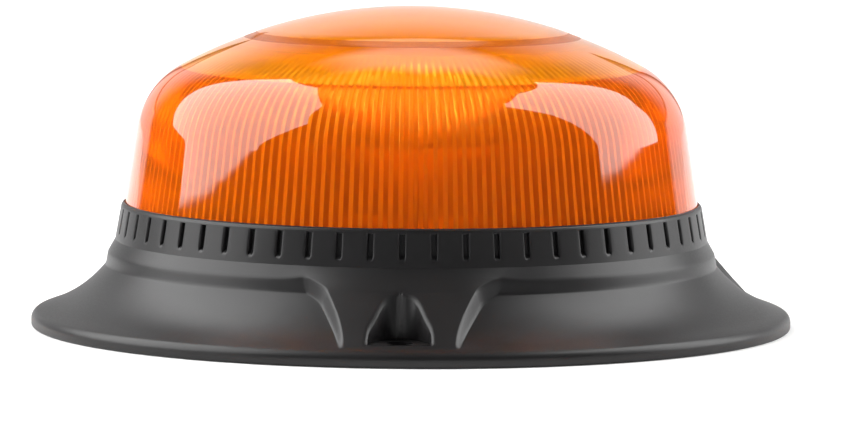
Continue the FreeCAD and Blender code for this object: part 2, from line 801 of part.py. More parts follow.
def dome_void():
    """The air inside the dome: prismed wall and shoulder, then the plain crown."""
    bend_z = dome_points(dome_wall)[1][1]
    rise = prism_top_z - bend_z
    shares = [math.sin(math.pi / 2 * i / prism_stations) for i in range(prism_stations + 1)]
    levels = [dome_seat_z] + [bend_z + rise * share for share in shares]
    prisms = Part.makeLoft([prism_ring(z) for z in levels], True, True)
    foot, wall_end, middle, end, top = dome_points(dome_wall)
    crest = skin_radius(prism_top_z, dome_wall + prism_depth) - 0.5
    start = (skin_radius(prism_top_z, dome_wall), prism_top_z)
    cr, cz = shoulder_centre(dome_crown_radius - dome_cap_step)
    turn = (math.atan2(start[1] - cz, start[0] - cr) + math.atan2(end[1] - cz, end[0] - cr)) / 2
    rho = dome_shoulder_radius - dome_wall
    bend = (cr + rho * math.cos(turn), cz + rho * math.sin(turn))
    crown_middle = crown_arc(dome_wall, end[0], 0.0, dome_crown_radius - dome_cap_step)[0]
    low = prism_top_z - 1
    crown = turned((0, low), [(crest, low), (crest, prism_top_z), start, (bend, end), (crown_middle, top)])
    return prisms, crown


def dome_lens():
    """Amber dome: smooth outside, prisms inside, a spigot that enters the collar and three screw ears."""
    body = dome_outside()
    for void in dome_void():
        body = body.cut(void)
    spigot = tube(spigot_radius, spigot_radius - spigot_wall, spigot_z, dome_seat_z)
    ledge = tube(spigot_radius, spigot_radius - spigot_wall, dome_seat_z - spigot_ledge, dome_seat_z)
    body = body.fuse([spigot, ledge])
    ears = []
    pilots = []
    middle = spigot_radius - spigot_wall / 2
    for i, p in enumerate(lens_ear_points()):
        ears.append(rod(ear_radius, spigot_z, spigot_z + ear_height, p))
        corner = FreeCAD.Vector(lens_screw_circle, -ear_radius, spigot_z)
        arm = Part.makeBox(middle - lens_screw_circle, 2 * ear_radius, ear_height, corner)
        arm = arm.common(rod(middle, spigot_z, spigot_z + ear_height))
        ears.append(spun(arm, lens_screw_start_deg + 360.0 * i / lens_screw_count))
        pilots.append(rod(lens_screw_radius, spigot_z - 1, spigot_z + lens_screw_bite, p))
    return body.fuse(ears).cut(Part.makeCompound(pilots))


def lens_seal():
    """Silicone ring under the dome's spigot."""
    return tube(spigot_radius, spigot_radius - seal_width, seal_ledge_z, seal_top_z)


def lens_screws():
    """Three long screws that pull the dome down, put in from the underside."""
    seat = underside_z + lens_screw_head_height + head_seat_depth
    length = spigot_z + lens_screw_bite - seat
    one = screw(lens_screw_radius, lens_screw_head_radius, lens_screw_head_height, length, 0)
    one.rotate(FreeCAD.Vector(), FreeCAD.Vector(1, 0, 0), 180)
    one.translate(FreeCAD.Vector(0, 0, seat))
    return [moved(one, p) for p in lens_ear_points()]


# ---- Circuit board -----------------------------------------------------------------------------
def motor_pin_points():
    """Where the motor's two terminals pass through the board."""
    inward = (FreeCAD.Vector() - motor_axis).normalize()
    side = FreeCAD.Vector(-inward.y, inward.x, 0)
    return [motor_axis + inward * motor_pin_offset + side * s * motor_pin_half_pitch for s in (-1, 1)]


def lead_points():
    """Where the two LED leads rise through the pillar."""
    return [FreeCAD.Vector(lead_offset, 0, 0), FreeCAD.Vector(-lead_offset, 0, 0)]


def circuit_board():
    """Round driver board with a hole over the cable grommet and a bridge for the LED leads."""
    board = tube(board_radius, board_hole_radius, board_z, board_top_z)
    reach, width = board_hole_radius + 1, board_bridge_width
    bridge = Part.makeBox(2 * reach, width, board_thickness, FreeCAD.Vector(-reach, -width / 2, board_z))
    board = board.fuse(bridge)
    holes = [rod(board_screw_radius + screw_gap, board_z - 1, board_top_z + 1, p)
             for p in board_post_points()]
    holes += [rod(motor_pin_radius, board_z - 1, board_top_z + 1, p) for p in motor_pin_points()]
    holes += [rod(lead_radius, board_z - 1, board_top_z + 1, p) for p in lead_points()]
    return board.cut(Part.makeCompound(holes))


def board_screws():
    """Three small screws that hold the board to the floor's posts."""
    one = screw(board_screw_radius, board_screw_head_radius, board_screw_head_height,
                board_thickness + board_standoff, board_top_z)
    return [moved(one, p) for p in board_post_points()]


def filter_capacitor():
    """Electrolytic capacitor with the groove round its can."""
    at = polar(capacitor_circle, capacitor_direction_deg)
    can = rod(capacitor_radius, board_top_z, board_top_z + capacitor_height, at)
    low = board_top_z + capacitor_groove_z
    high = low + 2 * capacitor_groove
    groove = tube(capacitor_radius + 1, capacitor_radius - capacitor_groove, low, high, at)
    return can.cut(groove)


def choke():
    """Drum choke: a waist between two flanges."""
    at = polar(choke_circle, choke_direction_deg)
    top = board_top_z + choke_height
    foot = rod(choke_radius, board_top_z, board_top_z + choke_flange, at)
    head = rod(choke_radius, top - choke_flange, top, at)
    return rod(choke_waist_radius, board_top_z, top, at).fuse(foot).fuse(head)


def terminal_block():
    """Two-way terminal block for the supply leads, with its wire mouths and screw wells."""
    length, width, height = terminal_size
    block = Part.makeBox(length, width, height, FreeCAD.Vector(-length / 2, -width / 2, 0))
    mouth = Part.makeBox(terminal_mouth, terminal_mouth_depth, terminal_mouth,
                         FreeCAD.Vector(-terminal_mouth / 2, -width / 2, terminal_mouth / 2))
    well = Part.makeCylinder(terminal_well_radius, terminal_well_depth,
                             FreeCAD.Vector(0, width / 2 - terminal_mouth, height - terminal_well_depth))
    for x in (-length / 4, length / 4):
        block = block.cut(moved(mouth.fuse(well), FreeCAD.Vector(x, 0, 0)))
    return moved(block, FreeCAD.Vector(terminal_at[0], terminal_at[1], board_top_z))


def driver_chips():
    """Motor and LED driver chips."""
    length, width, height = chip_size
    return [Part.makeBox(length, width, height, FreeCAD.Vector(x, y, board_top_z)) for x, y in chip_places]


# ---- Motor -------------------------------------------------------------------------------------
def motor_screw_points():
    """The motor's two fixing screws, clear of the idler's wheel."""
    across = motor_direction_deg + 90.0
    return [motor_axis + polar(motor_screw_offset, across), motor_axis - polar(motor_screw_offset, across)]


def motor_can():
    """Steel can with its nose through the chassis plate."""
    can = rod(motor_radius, motor_z + motor_cap_height, plate_z, motor_axis)
    lower = [e for e in can.Edges if abs(e.BoundBox.ZMax - motor_z - motor_cap_height) < 1e-6]
    can = can.makeFillet(motor_can_corner, lower)
    nose = rod(motor_nose_radius, plate_z, plate_top_z + motor_nose_rise, motor_axis)
    bore = rod(motor_shaft_radius + running_gap, motor_z, plate_top_z + 1, motor_axis)
    low, high = plate_z - motor_screw_bite, plate_z + 1
    holes = [rod(motor_screw_radius, low, high, p) for p in motor_screw_points()]
    return can.fuse(nose).cut(Part.makeCompound([bore] + holes))


def motor_end_cap():
    """Plastic end of the motor, with its two terminals' feet."""
    cap = rod(motor_radius - motor_cap_inset, motor_z, motor_z + motor_cap_height, motor_axis)
    low, high = motor_z - 1, motor_z + motor_cap_height + 1
    pins = [rod(motor_pin_radius, low, high, p) for p in motor_pin_points()]
    return cap.cut(Part.makeCompound(pins))


def motor_terminals():
    """Two pins from the motor down through the board."""
    low, high = board_z - solder_tail, motor_z + motor_cap_height
    return [rod(motor_pin_radius, low, high, p) for p in motor_pin_points()]


def motor_screws():
    """Two screws from the plate into the motor's face."""
    length = plate_thickness + motor_screw_bite
    one = screw(motor_screw_radius, motor_screw_head_radius, motor_screw_head_height, length, plate_top_z)
    return [moved(one, p) for p in motor_screw_points()]


def motor_shaft():
    """Motor shaft, from inside the can to the top of its pinion."""
    low = motor_z + motor_cap_height + motor_shaft_end_gap
    return rod(motor_shaft_radius, low, idler_top_z + motor_shaft_rise, motor_axis)


def motor_pinion():
    """Brass pinion on the motor shaft."""
    low, high = idler_z - pinion_overhang, idler_top_z + pinion_overhang
    gear = gear_blank(small_teeth, low, high, motor_tooth_angle)
    return moved(gear, motor_axis).cut(rod(motor_shaft_radius, low - 1, high + 1, motor_axis))


# ---- Chassis -----------------------------------------------------------------------------------
def chassis_plate():
    """Pressed plate that carries motor, idler and pillar, with lightening holes."""
    wanted = [(motor_nose_radius + nose_gap, [motor_axis]), (idler_pin_radius, [idler_axis]),
              (plate_hole_radius, [FreeCAD.Vector()]),
              (motor_screw_radius + screw_gap, motor_screw_points()),
              (post_screw_radius + screw_gap, tall_post_points()),
              (pillar_screw_radius, pillar_screw_points()),
              (ear_radius + ear_gap, lens_ear_points()),
              (plate_window_radius, [polar(plate_window_circle, a) for a in plate_window_directions])]
    low, high = plate_z - 1, plate_top_z + 1
    holes = [rod(radius, low, high, p) for radius, points in wanted for p in points]
    return rod(plate_radius, plate_z, plate_top_z).cut(Part.makeCompound(holes))


def chassis_screws():
    """Three screws from the plate into the base's tall posts."""
    one = screw(post_screw_radius, post_screw_head_radius, post_screw_head_height,
                plate_thickness + post_screw_bite, plate_top_z)
    return [moved(one, p) for p in tall_post_points()]


def pillar():
    """Turned aluminium pillar: flange, shoulder, journal for the bush and tip for the LED core."""
    groove = pillar_radius - clip_depth
    shoulder_z = plate_top_z + pillar_flange_height
    steps = [
        (pillar_flange_radius, plate_top_z), (pillar_flange_radius, shoulder_z),
        (pillar_shoulder_radius, shoulder_z), (pillar_shoulder_radius, washer_z),
        (pillar_radius, washer_z), (pillar_radius, clip_z), (groove, clip_z),
        (groove, clip_z + clip_thickness), (pillar_radius, clip_z + clip_thickness),
        (pillar_radius, core_z),
        (pillar_tip_radius, core_z), (pillar_tip_radius, core_top_z), (pillar_bore_radius, core_top_z),
    ]
    body = turned((pillar_bore_radius, plate_top_z), steps)
    holes = [rod(pillar_screw_radius + screw_gap, plate_top_z - 1, shoulder_z + 3, p)
             for p in pillar_screw_points()]
    return body.cut(Part.makeCompound(holes))


def pillar_screws():
    """Three screws that hold the pillar's flange to the plate."""
    one = screw(pillar_screw_radius, pillar_screw_head_radius, pillar_screw_head_height,
                pillar_flange_height + plate_thickness, plate_top_z + pillar_flange_height)
    return [moved(one, p) for p in pillar_screw_points()]


def thrust_washer():
    """Slippery washer between the pillar's shoulder and the turntable."""
    return tube(washer_radius, pillar_radius + washer_gap, washer_z, washer_z + washer_thickness)


def retaining_clip():
    """Open spring ring in the pillar's groove, above the bush."""
    inner = pillar_radius - clip_depth
    ring = tube(inner + clip_width, inner, clip_z, clip_z + clip_thickness)
    far = 2 * (inner + clip_width)
    low, high = clip_z - 1, clip_z + clip_thickness + 1
    return ring.cut(turned((0, low), [(far, low), (far, high), (0, high)], clip_opening_deg))


# ---- Idler -------------------------------------------------------------------------------------
def idler_pin():
    """Steel pin pressed into the plate, on which the idler turns."""
    return rod(idler_pin_radius, plate_z, pinion_top_z + idler_pin_rise, idler_axis)


def idler_gear():
    """Two-step idler: a large wheel for the motor's pinion, a small one for the ring gear."""
    wheel = gear_blank(idler_teeth, idler_z, idler_top_z, idler_tooth_angle)
    pinion = gear_blank(small_teeth, idler_top_z, pinion_top_z, idler_tooth_angle)
    boss_below = rod(idler_boss_radius, plate_top_z + idler_boss_gap, idler_z)
    body = wheel.fuse([pinion, boss_below]).cut(rod(idler_pin_radius + running_gap, plate_z, disc_z))
    centres = ring_of_points(idler_window_count, idler_window_circle, 0.0)
    windows = [rod(idler_window_radius, idler_z - 1, idler_top_z + 1, p) for p in centres]
    return moved(body.cut(Part.makeCompound(windows)), idler_axis)


# ---- Turntable and mirror ----------------------------------------------------------------------
def mirror_post_points():
    """The four posts behind the mirror."""
    return [FreeCAD.Vector(side * x, y, 0) for x, y in mirror_posts for side in (-1, 1)]


def countersunk_screw():
    """Countersunk screw that points up from the turntable's underside."""
    steps = [(mirror_screw_head_radius, disc_z), (mirror_screw_radius, disc_z + mirror_screw_head_height),
             (mirror_screw_radius, disc_z + mirror_screw_length), (0, disc_z + mirror_screw_length)]
    return turned((0, disc_z), steps)


def turntable():
    """Turntable: disc, hub and ring gear in one moulding."""
    bore = pillar_radius + running_gap + bush_wall
    disc = rod(disc_radius, disc_z, disc_top_z)
    groove_z = disc_z + disc_thickness / 2
    half = disc_groove / 2
    disc = disc.cut(tube(disc_radius + 1, disc_radius - disc_groove, groove_z - half, groove_z + half))
    gear = gear_blank(ring_teeth, ring_gear_z, disc_z, ring_tooth_angle)
    gear = gear.cut(rod(ring_pitch_radius - ring_gear_depth, ring_gear_z - 1, disc_z))
    hub = rod(hub_radius, bush_z, bush_top_z)
    body = disc.fuse([gear, hub])
    start = hub_radius - turntable_rib_root
    length = ring_pitch_radius - ring_gear_depth + turntable_rib_root - start
    corner = FreeCAD.Vector(start, -turntable_rib / 2, ring_gear_z)
    rib = Part.makeBox(length, turntable_rib, ring_gear_width, corner)
    for solid in around(rib, turntable_rib_count, turntable_rib_start_deg):
        body = body.fuse(solid)
    holes = [rod(bore, bush_z - 1, bush_top_z + 1)]
    holes += [moved(countersunk_screw(), p) for p in mirror_post_points()]
    return body.cut(Part.makeCompound(holes))


def turntable_bush():
    """Sintered bronze bush in the turntable's hub."""
    inner = pillar_radius + running_gap
    return tube(inner + bush_wall, inner, bush_z, bush_top_z)


def parabola_point(x, back):
    """A point of the mirror's face, or of its back when moved out by back, in the turntable's plane."""
    y = mirror_focus - x * x / (4 * mirror_focus)
    slope = -x / (2 * mirror_focus)
    length = math.hypot(1, slope)
    return FreeCAD.Vector(x - back * slope / length, y + back / length, 0)


def parabola_edge(half_width, back, z):
    """The parabola between its two ends, as one smooth curve, with its left and right ends."""
    points = []
    for i in range(mirror_stations):
        p = parabola_point(half_width * (2.0 * i / (mirror_stations - 1) - 1), back)
        points.append(FreeCAD.Vector(p.x, p.y, z))
    curve = Part.BSplineCurve()
    curve.interpolate(points)
    return curve.toShape(), points[0], points[-1]


def upright(edges, height):
    """Solid that stands on a closed loop of edges, given in any order."""
    wire = Part.Wire(Part.__sortEdges__(edges))
    return Part.Face(wire).extrude(FreeCAD.Vector(0, 0, height))


def reflector():
    """Metallised mirror: an upright parabolic wall on a thin foot, with posts behind it."""
    rim = disc_radius - mirror_rim_gap
    half = math.sqrt(4 * mirror_focus * (disc_radius - mirror_focus))
    front, front_left, front_right = parabola_edge(half, 0.0, disc_top_z)
    rear, rear_left, rear_right = parabola_edge(half, mirror_wall, disc_top_z)
    wall = upright([front, Part.LineSegment(front_right, rear_right).toShape(), rear,
                    Part.LineSegment(rear_left, front_left).toShape()], mirror_height)
    far_right = FreeCAD.Vector(disc_radius * 2, disc_radius, disc_top_z)
    far_left = FreeCAD.Vector(-disc_radius * 2, disc_radius, disc_top_z)
    behind = upright([front, Part.LineSegment(front_right, far_right).toShape(),
                      Part.LineSegment(far_right, far_left).toShape(),
                      Part.LineSegment(far_left, front_left).toShape()], mirror_foot_height)
    foot = behind.common(rod(rim, disc_top_z, disc_top_z + mirror_foot_height))
    body = wall.common(rod(rim, disc_top_z, mirror_top_z)).fuse(foot)
    pilots = []
    for p in mirror_post_points():
        body = body.fuse(rod(mirror_post_radius, disc_top_z, mirror_top_z, p))
        pilots.append(rod(mirror_screw_radius, disc_top_z - 1, disc_z + mirror_screw_length, p))
        pilots.append(rod(mirror_screw_radius, mirror_top_z - lid_screw_bite, mirror_top_z + 1, p))
    return body.cut(Part.makeCompound(pilots))


def reflector_screws():
    """Four countersunk screws, up through the turntable into the mirror's posts."""
    return [moved(countersunk_screw(), p) for p in mirror_post_points()]


def reflector_lid():
    """Dark lid over the mirror, with a turned-up rim and a shallow rib ring."""
    c = lid_edge_corner
    web_z = mirror_top_z + lid_web
    inner = disc_radius - lid_rim_wall
    steps = [
        (disc_radius - c, mirror_top_z), (disc_radius, mirror_top_z + c), (disc_radius, lid_top_z - c),
        (disc_radius - c, lid_top_z), (inner, lid_top_z), (inner, web_z), (0, web_z),
    ]
    body = turned((0, mirror_top_z), steps)
    body = body.fuse(tube(lid_ring_radius, lid_ring_radius - lid_ring_wall, web_z, lid_top_z - c))
    radius = mirror_screw_radius + screw_gap
    holes = [rod(radius, mirror_top_z - 1, lid_top_z, p) for p in mirror_post_points()]
    return body.cut(Part.makeCompound(holes))


def lid_screws():
    """Four screws from the lid into the mirror's posts."""
    top = mirror_top_z + lid_web
    length = lid_web + lid_screw_bite
    one = screw(mirror_screw_radius, mirror_screw_head_radius, mirror_screw_head_height, length, top)
    return [moved(one, p) for p in mirror_post_points()]


# ---- LED tower ---------------------------------------------------------------------------------
def led_core():
    """Six-sided aluminium core that carries one LED on each flat."""
    corner = core_flat_radius / math.cos(math.pi / led_count)
    points = [polar(corner, 360.0 / led_count * (i + 0.5), core_z) for i in range(led_count)]
    face = Part.Face(Part.makePolygon(points + [points[0]]))
    prism = face.extrude(FreeCAD.Vector(0, 0, core_top_z - core_z))
    return prism.cut(rod(pillar_tip_radius, core_z - 1, core_top_z + 1))


def led_emitters():
    """One LED on each flat of the core: a square package with a clear half-round lens."""
    centre_z = (core_z + core_top_z) / 2
    face = core_flat_radius + led_package_height
    package = Part.makeBox(led_package_height, led_size, led_size,
                           FreeCAD.Vector(core_flat_radius, -led_size / 2, centre_z - led_size / 2))
    lens = Part.makeSphere(led_lens_radius, FreeCAD.Vector(face, 0, centre_z))
    corner = FreeCAD.Vector(face, -led_size / 2, centre_z - led_size / 2)
    keep = Part.makeBox(led_size, led_size, led_size, corner)
    return around(package.fuse(lens.common(keep)), led_count)


def led_cap():
    """Cap pressed on the pillar's tip over the core."""
    top = core_top_z + led_cap_height
    cap = rod(led_cap_radius, core_top_z, top)
    rim = [e for e in cap.Edges if abs(e.BoundBox.ZMin - top) < 1e-6 and e.Length > led_cap_radius]
    cap = cap.makeFillet(led_cap_height / 2, rim)
    return cap.fuse(rod(pillar_bore_radius, core_top_z - led_cap_spigot, core_top_z))


def led_leads():
    """Two stiff insulated leads from the board up through the pillar to the LED core."""
    return [rod(lead_radius, board_z - solder_tail, core_top_z - led_cap_spigot, p) for p in lead_points()]


PIECES = {
    "base_housing": base_housing,
    "base_gasket": base_gasket,
    "cable_grommet": cable_grommet,
    "dome_lens": dome_lens,
    "lens_seal": lens_seal,
    "lens_screws": lens_screws,
    "circuit_board": circuit_board,
    "board_screws": board_screws,
    "filter_capacitor": filter_capacitor,
    "choke": choke,
    "terminal_block": terminal_block,
    "driver_chips": driver_chips,
    "motor_can": motor_can,
    "motor_end_cap": motor_end_cap,
    "motor_terminals": motor_terminals,
    "motor_screws": motor_screws,
    "motor_shaft": motor_shaft,
    "motor_pinion": motor_pinion,
    "chassis_plate": chassis_plate,
    "chassis_screws": chassis_screws,
    "pillar": pillar,
    "pillar_screws": pillar_screws,
    "thrust_washer": thrust_washer,
    "retaining_clip": retaining_clip,
    "idler_pin": idler_pin,
    "idler_gear": idler_gear,
    "turntable": turntable,
    "turntable_bush": turntable_bush,
    "reflector": reflector,
    "reflector_screws": reflector_screws,
    "reflector_lid": reflector_lid,
    "lid_screws": lid_screws,
    "led_core": led_core,
    "led_emitters": led_emitters,
    "led_cap": led_cap,
    "led_leads": led_leads,
}


def main():
    """Builds every piece and writes one STEP file for each."""
    os.makedirs("parts", exist_ok=True)
    for name, build in PIECES.items():
        shape = build()
        solids = []
        for item in shape if isinstance(shape, list) else [shape]:
            solids += item.Solids
        result = solids[0] if len(solids) == 1 else Part.makeCompound(solids)
        print(f"{name:18s} solids {len(solids):2d}  volume {result.Volume:10.1f}  valid {result.isValid()}")
        result.exportStep(f"parts/{name}.step")


main()
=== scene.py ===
"""Looks of a low-dome rotating warning beacon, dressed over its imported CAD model.

A black moulded base with slots round its collar and three bolt bosses carries an amber dome. The
dome is smooth outside and covered in upright prisms inside, and the works show through it: a mirror
on a geared turntable, a tower of LEDs, and the motor that drives them.

Lengths are metres unless a name ends in _mm, and angles are degrees where a name ends in _deg.
"""

import json
import logging
import math
from dataclasses import dataclass
from enum import Enum
from typing import Any, Sequence

import bpy
import numpy as np
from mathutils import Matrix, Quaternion, Vector
from mathutils.bvhtree import BVHTree
from mathutils.geometry import tessellate_polygon


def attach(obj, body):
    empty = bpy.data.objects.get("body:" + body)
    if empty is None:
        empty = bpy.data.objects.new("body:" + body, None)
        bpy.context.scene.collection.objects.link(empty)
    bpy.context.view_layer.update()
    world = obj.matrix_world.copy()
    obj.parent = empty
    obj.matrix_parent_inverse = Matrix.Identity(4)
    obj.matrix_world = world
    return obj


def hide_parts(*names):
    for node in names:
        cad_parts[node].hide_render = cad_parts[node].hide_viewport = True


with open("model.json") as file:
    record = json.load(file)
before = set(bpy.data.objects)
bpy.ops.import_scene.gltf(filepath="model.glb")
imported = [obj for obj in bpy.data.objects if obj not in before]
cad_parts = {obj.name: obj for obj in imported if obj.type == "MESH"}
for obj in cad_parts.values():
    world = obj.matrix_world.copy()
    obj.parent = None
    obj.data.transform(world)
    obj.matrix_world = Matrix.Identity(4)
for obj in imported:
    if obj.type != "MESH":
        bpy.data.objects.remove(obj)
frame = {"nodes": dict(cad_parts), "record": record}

log = logging.getLogger("beacon")

MM = 0.001
UP = Vector((0.0, 0.0, 1.0))

Profile = list[tuple[float, float]]


# ---- Colour and nodes ----------------------------------------------------------------------------
def linear(colour: str) -> tuple[float, float, float, float]:
    """Turn an sRGB hex colour into linear RGBA.

    Args:
        colour: Six hex digits, with or without a leading hash.

    Returns:
        Linear red, green, blue and an alpha of one.
    """
    digits = colour.lstrip("#")
    channels = [int(digits[i:i + 2], 16) / 255 for i in (0, 2, 4)]
    made = [c / 12.92 if c <= 0.04045 else ((c + 0.055) / 1.055) ** 2.4 for c in channels]
    return made[0], made[1], made[2], 1.0


def add_node(
    tree: bpy.types.NodeTree,
    kind: str,
    inputs: dict[Any, Any] | None = None,
    **settings: Any,
) -> bpy.types.Node:
    """Add one node to a tree, with its settings, input values and links.

    Args:
        tree: The node tree that takes the node.
        kind: Blender's name for the node's type.
        inputs: For each input's name or index, a value, or the socket that is linked to it.
        settings: Values for the node's own properties.

    Returns:
        The new node.
    """
    made = tree.nodes.new(kind)
    for key, value in settings.items():
        setattr(made, key, value)
    for key, value in (inputs or {}).items():
        if isinstance(value, bpy.types.NodeSocket):
            tree.links.new(value, made.inputs[key])
        else:
            made.inputs[key].default_value = value
    return made


def new_material(name: str) -> tuple[bpy.types.Material, bpy.types.NodeTree]:
    """Make an empty node material.

    Args:
        name: The material's name.

    Returns:
        The material and its cleared node tree.
    """
    material = bpy.data.materials.new(name)
    material.use_nodes = True
    material.node_tree.nodes.clear()
    return material, material.node_tree


# ---- Finishes ------------------------------------------------------------------------------------
class Texture(Enum):
    """How a surface was made, which sets the pattern that it shows."""

    SPARK_ERODED = "moulded against a spark-eroded tool: fine even grain"
    MOULDED = "moulded against a polished tool: faint flow and sink"
    TURNED = "turned on a lathe: fine rings about the axis"
    ROLLED = "rolled or pressed sheet: faint drawn lines"
    POLISHED = "polished or vacuum-coated: nearly a mirror"


@dataclass(frozen=True)
class Finish:
    """One opaque finish: what the thing is made of and how its surface was made.

    Attributes:
        name: The material's common name.
        colour: Its sRGB colour.
        shade: The sRGB colour that its pattern drifts towards.
        roughness: Mean roughness.
        texture: How the surface was made.
        grain_mm: Width of one grain, ring or line, in millimetres.
        relief_mm: Height of that grain.
        metallic: One for a bare metal.
        ior: Index of refraction; metals keep the default.
        coat: Weight of a clear coat.
    """

    name: str
    colour: str
    shade: str
    roughness: float
    texture: Texture
    grain_mm: float
    relief_mm: float = 0.01
    metallic: float = 0.0
    ior: float = 1.5
    coat: float = 0.0

    def build(self) -> bpy.types.Material:
        """Make the node material.

        Returns:
            The material, ready for a slot.
        """
        material, tree = new_material(self.name)
        place = add_node(tree, "ShaderNodeTexCoord").outputs["Object"]
        height = self._pattern(tree, place)
        drift = add_node(
            tree, "ShaderNodeTexNoise",
            {"Vector": place, "Scale": 1 / (14 * MM), "Detail": 3.0, "Roughness": 0.55},
        ).outputs["Fac"]
        blend = add_node(
            tree, "ShaderNodeMapRange",
            {"Value": drift, "From Min": 0.35, "From Max": 0.7, "To Min": 0.0, "To Max": 1.0},
        ).outputs["Result"]
        colour = add_node(
            tree, "ShaderNodeMix",
            {0: blend, 6: linear(self.colour), 7: linear(self.shade)}, data_type="RGBA",
        ).outputs[2]
        rough = add_node(
            tree, "ShaderNodeMapRange",
            {"Value": height, "From Min": 0.2, "From Max": 0.8,
             "To Min": self.roughness * 0.88, "To Max": min(1.0, self.roughness * 1.14)},
        ).outputs["Result"]
        bump = add_node(
            tree, "ShaderNodeBump",
            {"Height": height, "Strength": 1.0, "Distance": self.relief_mm * MM},
        ).outputs["Normal"]
        shader = add_node(
            tree, "ShaderNodeBsdfPrincipled",
            {"Base Color": colour, "Roughness": rough, "Normal": bump, "Metallic": self.metallic,
             "IOR": self.ior, "Coat Weight": self.coat},
        )
        add_node(tree, "ShaderNodeOutputMaterial", {"Surface": shader.outputs["BSDF"]})
        return material

    def _pattern(self, tree: bpy.types.NodeTree, place: bpy.types.NodeSocket) -> bpy.types.NodeSocket:
        """Add the nodes of the surface's pattern.

        Args:
            tree: The material's tree.
            place: Object coordinates, in metres.

        Returns:
            A height from zero to one.
        """
        per_metre = 1 / (self.grain_mm * MM)
        if self.texture is Texture.TURNED:
            bands = add_node(
                tree, "ShaderNodeTexWave",
                {"Vector": place, "Scale": per_metre / 2, "Distortion": 0.4, "Detail": 2.0},
                wave_type="RINGS", rings_direction="Z",
            )
            return bands.outputs["Fac"]
        if self.texture is Texture.ROLLED:
            drawn = add_node(
                tree, "ShaderNodeMapping", {"Vector": place, "Scale": (per_metre / 30, per_metre, per_metre)},
            ).outputs["Vector"]
            lines = add_node(tree, "ShaderNodeTexNoise", {"Vector": drawn, "Scale": 1.0, "Detail": 4.0})
            return lines.outputs["Fac"]
        detail = 1.0 if self.texture is Texture.POLISHED else 3.0
        grain = add_node(
            tree, "ShaderNodeTexNoise",
            {"Vector": place, "Scale": per_metre, "Detail": detail, "Roughness": 0.6},
        )
        return grain.outputs["Fac"]


FINISHES: dict[str, Finish] = {
    # Satin black ABS, moulded against a spark-eroded tool: a soft grey sheen with no mirror image.
    "base_black": Finish("abs_satin_black", "#171617", "#1D1C1D", 0.37, Texture.SPARK_ERODED, 0.45, 0.012,
                         ior=1.47),
    "gasket_rubber": Finish("epdm_rubber_black", "#161616", "#1D1D1D", 0.8, Texture.SPARK_ERODED, 0.8, 0.02),
    "seal_silicone": Finish("silicone_grey", "#8F9190", "#9B9C9A", 0.5, Texture.MOULDED, 2.0, 0.01, ior=1.41),
    "screw_steel": Finish("zinc_plated_steel", "#B9B9B4", "#A9A79C", 0.3, Texture.TURNED, 0.35, 0.004, 1.0),
    "board_green": Finish("fr4_solder_mask_green", "#1F5B3A", "#24663F", 0.35, Texture.MOULDED, 1.2, 0.02),
    "capacitor_sleeve": Finish("pvc_sleeve_black", "#202329", "#2A2D33", 0.35, Texture.MOULDED, 1.5, 0.01),
    "choke_ferrite": Finish("ferrite_dark_grey", "#2B2A2B", "#353334", 0.55, Texture.SPARK_ERODED, 0.5, 0.01),
    "terminal_plastic": Finish("polyamide_green", "#2F7A4A", "#368352", 0.45, Texture.MOULDED, 1.0, 0.01),
    "motor_steel": Finish("nickel_plated_steel", "#A9A8A2", "#9B9992", 0.28, Texture.ROLLED, 0.3, 0.003, 1.0),
    "pin_brass": Finish("brass_drawn", "#C9A24B", "#B98F3C", 0.3, Texture.TURNED, 0.3, 0.003, 1.0),
    "plate_steel": Finish("zinc_plated_sheet", "#AEB0AE", "#9C9E9A", 0.34, Texture.ROLLED, 0.6, 0.004, 1.0),
    "turned_aluminium": Finish("aluminium_turned", "#C8C9C9", "#B9BABA", 0.3, Texture.TURNED, 0.3,
                               0.004, 1.0),
    "washer_white": Finish("ptfe_white", "#E8E6E0", "#DEDBD3", 0.5, Texture.MOULDED, 1.0, 0.005, ior=1.35),
    "gear_white": Finish("acetal_white", "#E9E7DF", "#E0DDD2", 0.38, Texture.MOULDED, 1.5, 0.01, ior=1.48),
    "turntable_black": Finish("abs_gloss_black", "#1A1919", "#201F1F", 0.33, Texture.MOULDED, 1.2, 0.01,
                              ior=1.54),
    "bush_bronze": Finish("sintered_bronze", "#8C6A3E", "#7C5C34", 0.45, Texture.SPARK_ERODED, 0.3,
                          0.01, 1.0),
    "mirror_metallised": Finish("vacuum_aluminised_abs", "#E6E6E8", "#DEDEE0", 0.05, Texture.POLISHED, 6.0,
                                0.002, 1.0),
    "lead_insulation": Finish("pvc_red", "#8E1F18", "#9A2A20", 0.42, Texture.MOULDED, 1.0, 0.01),
}


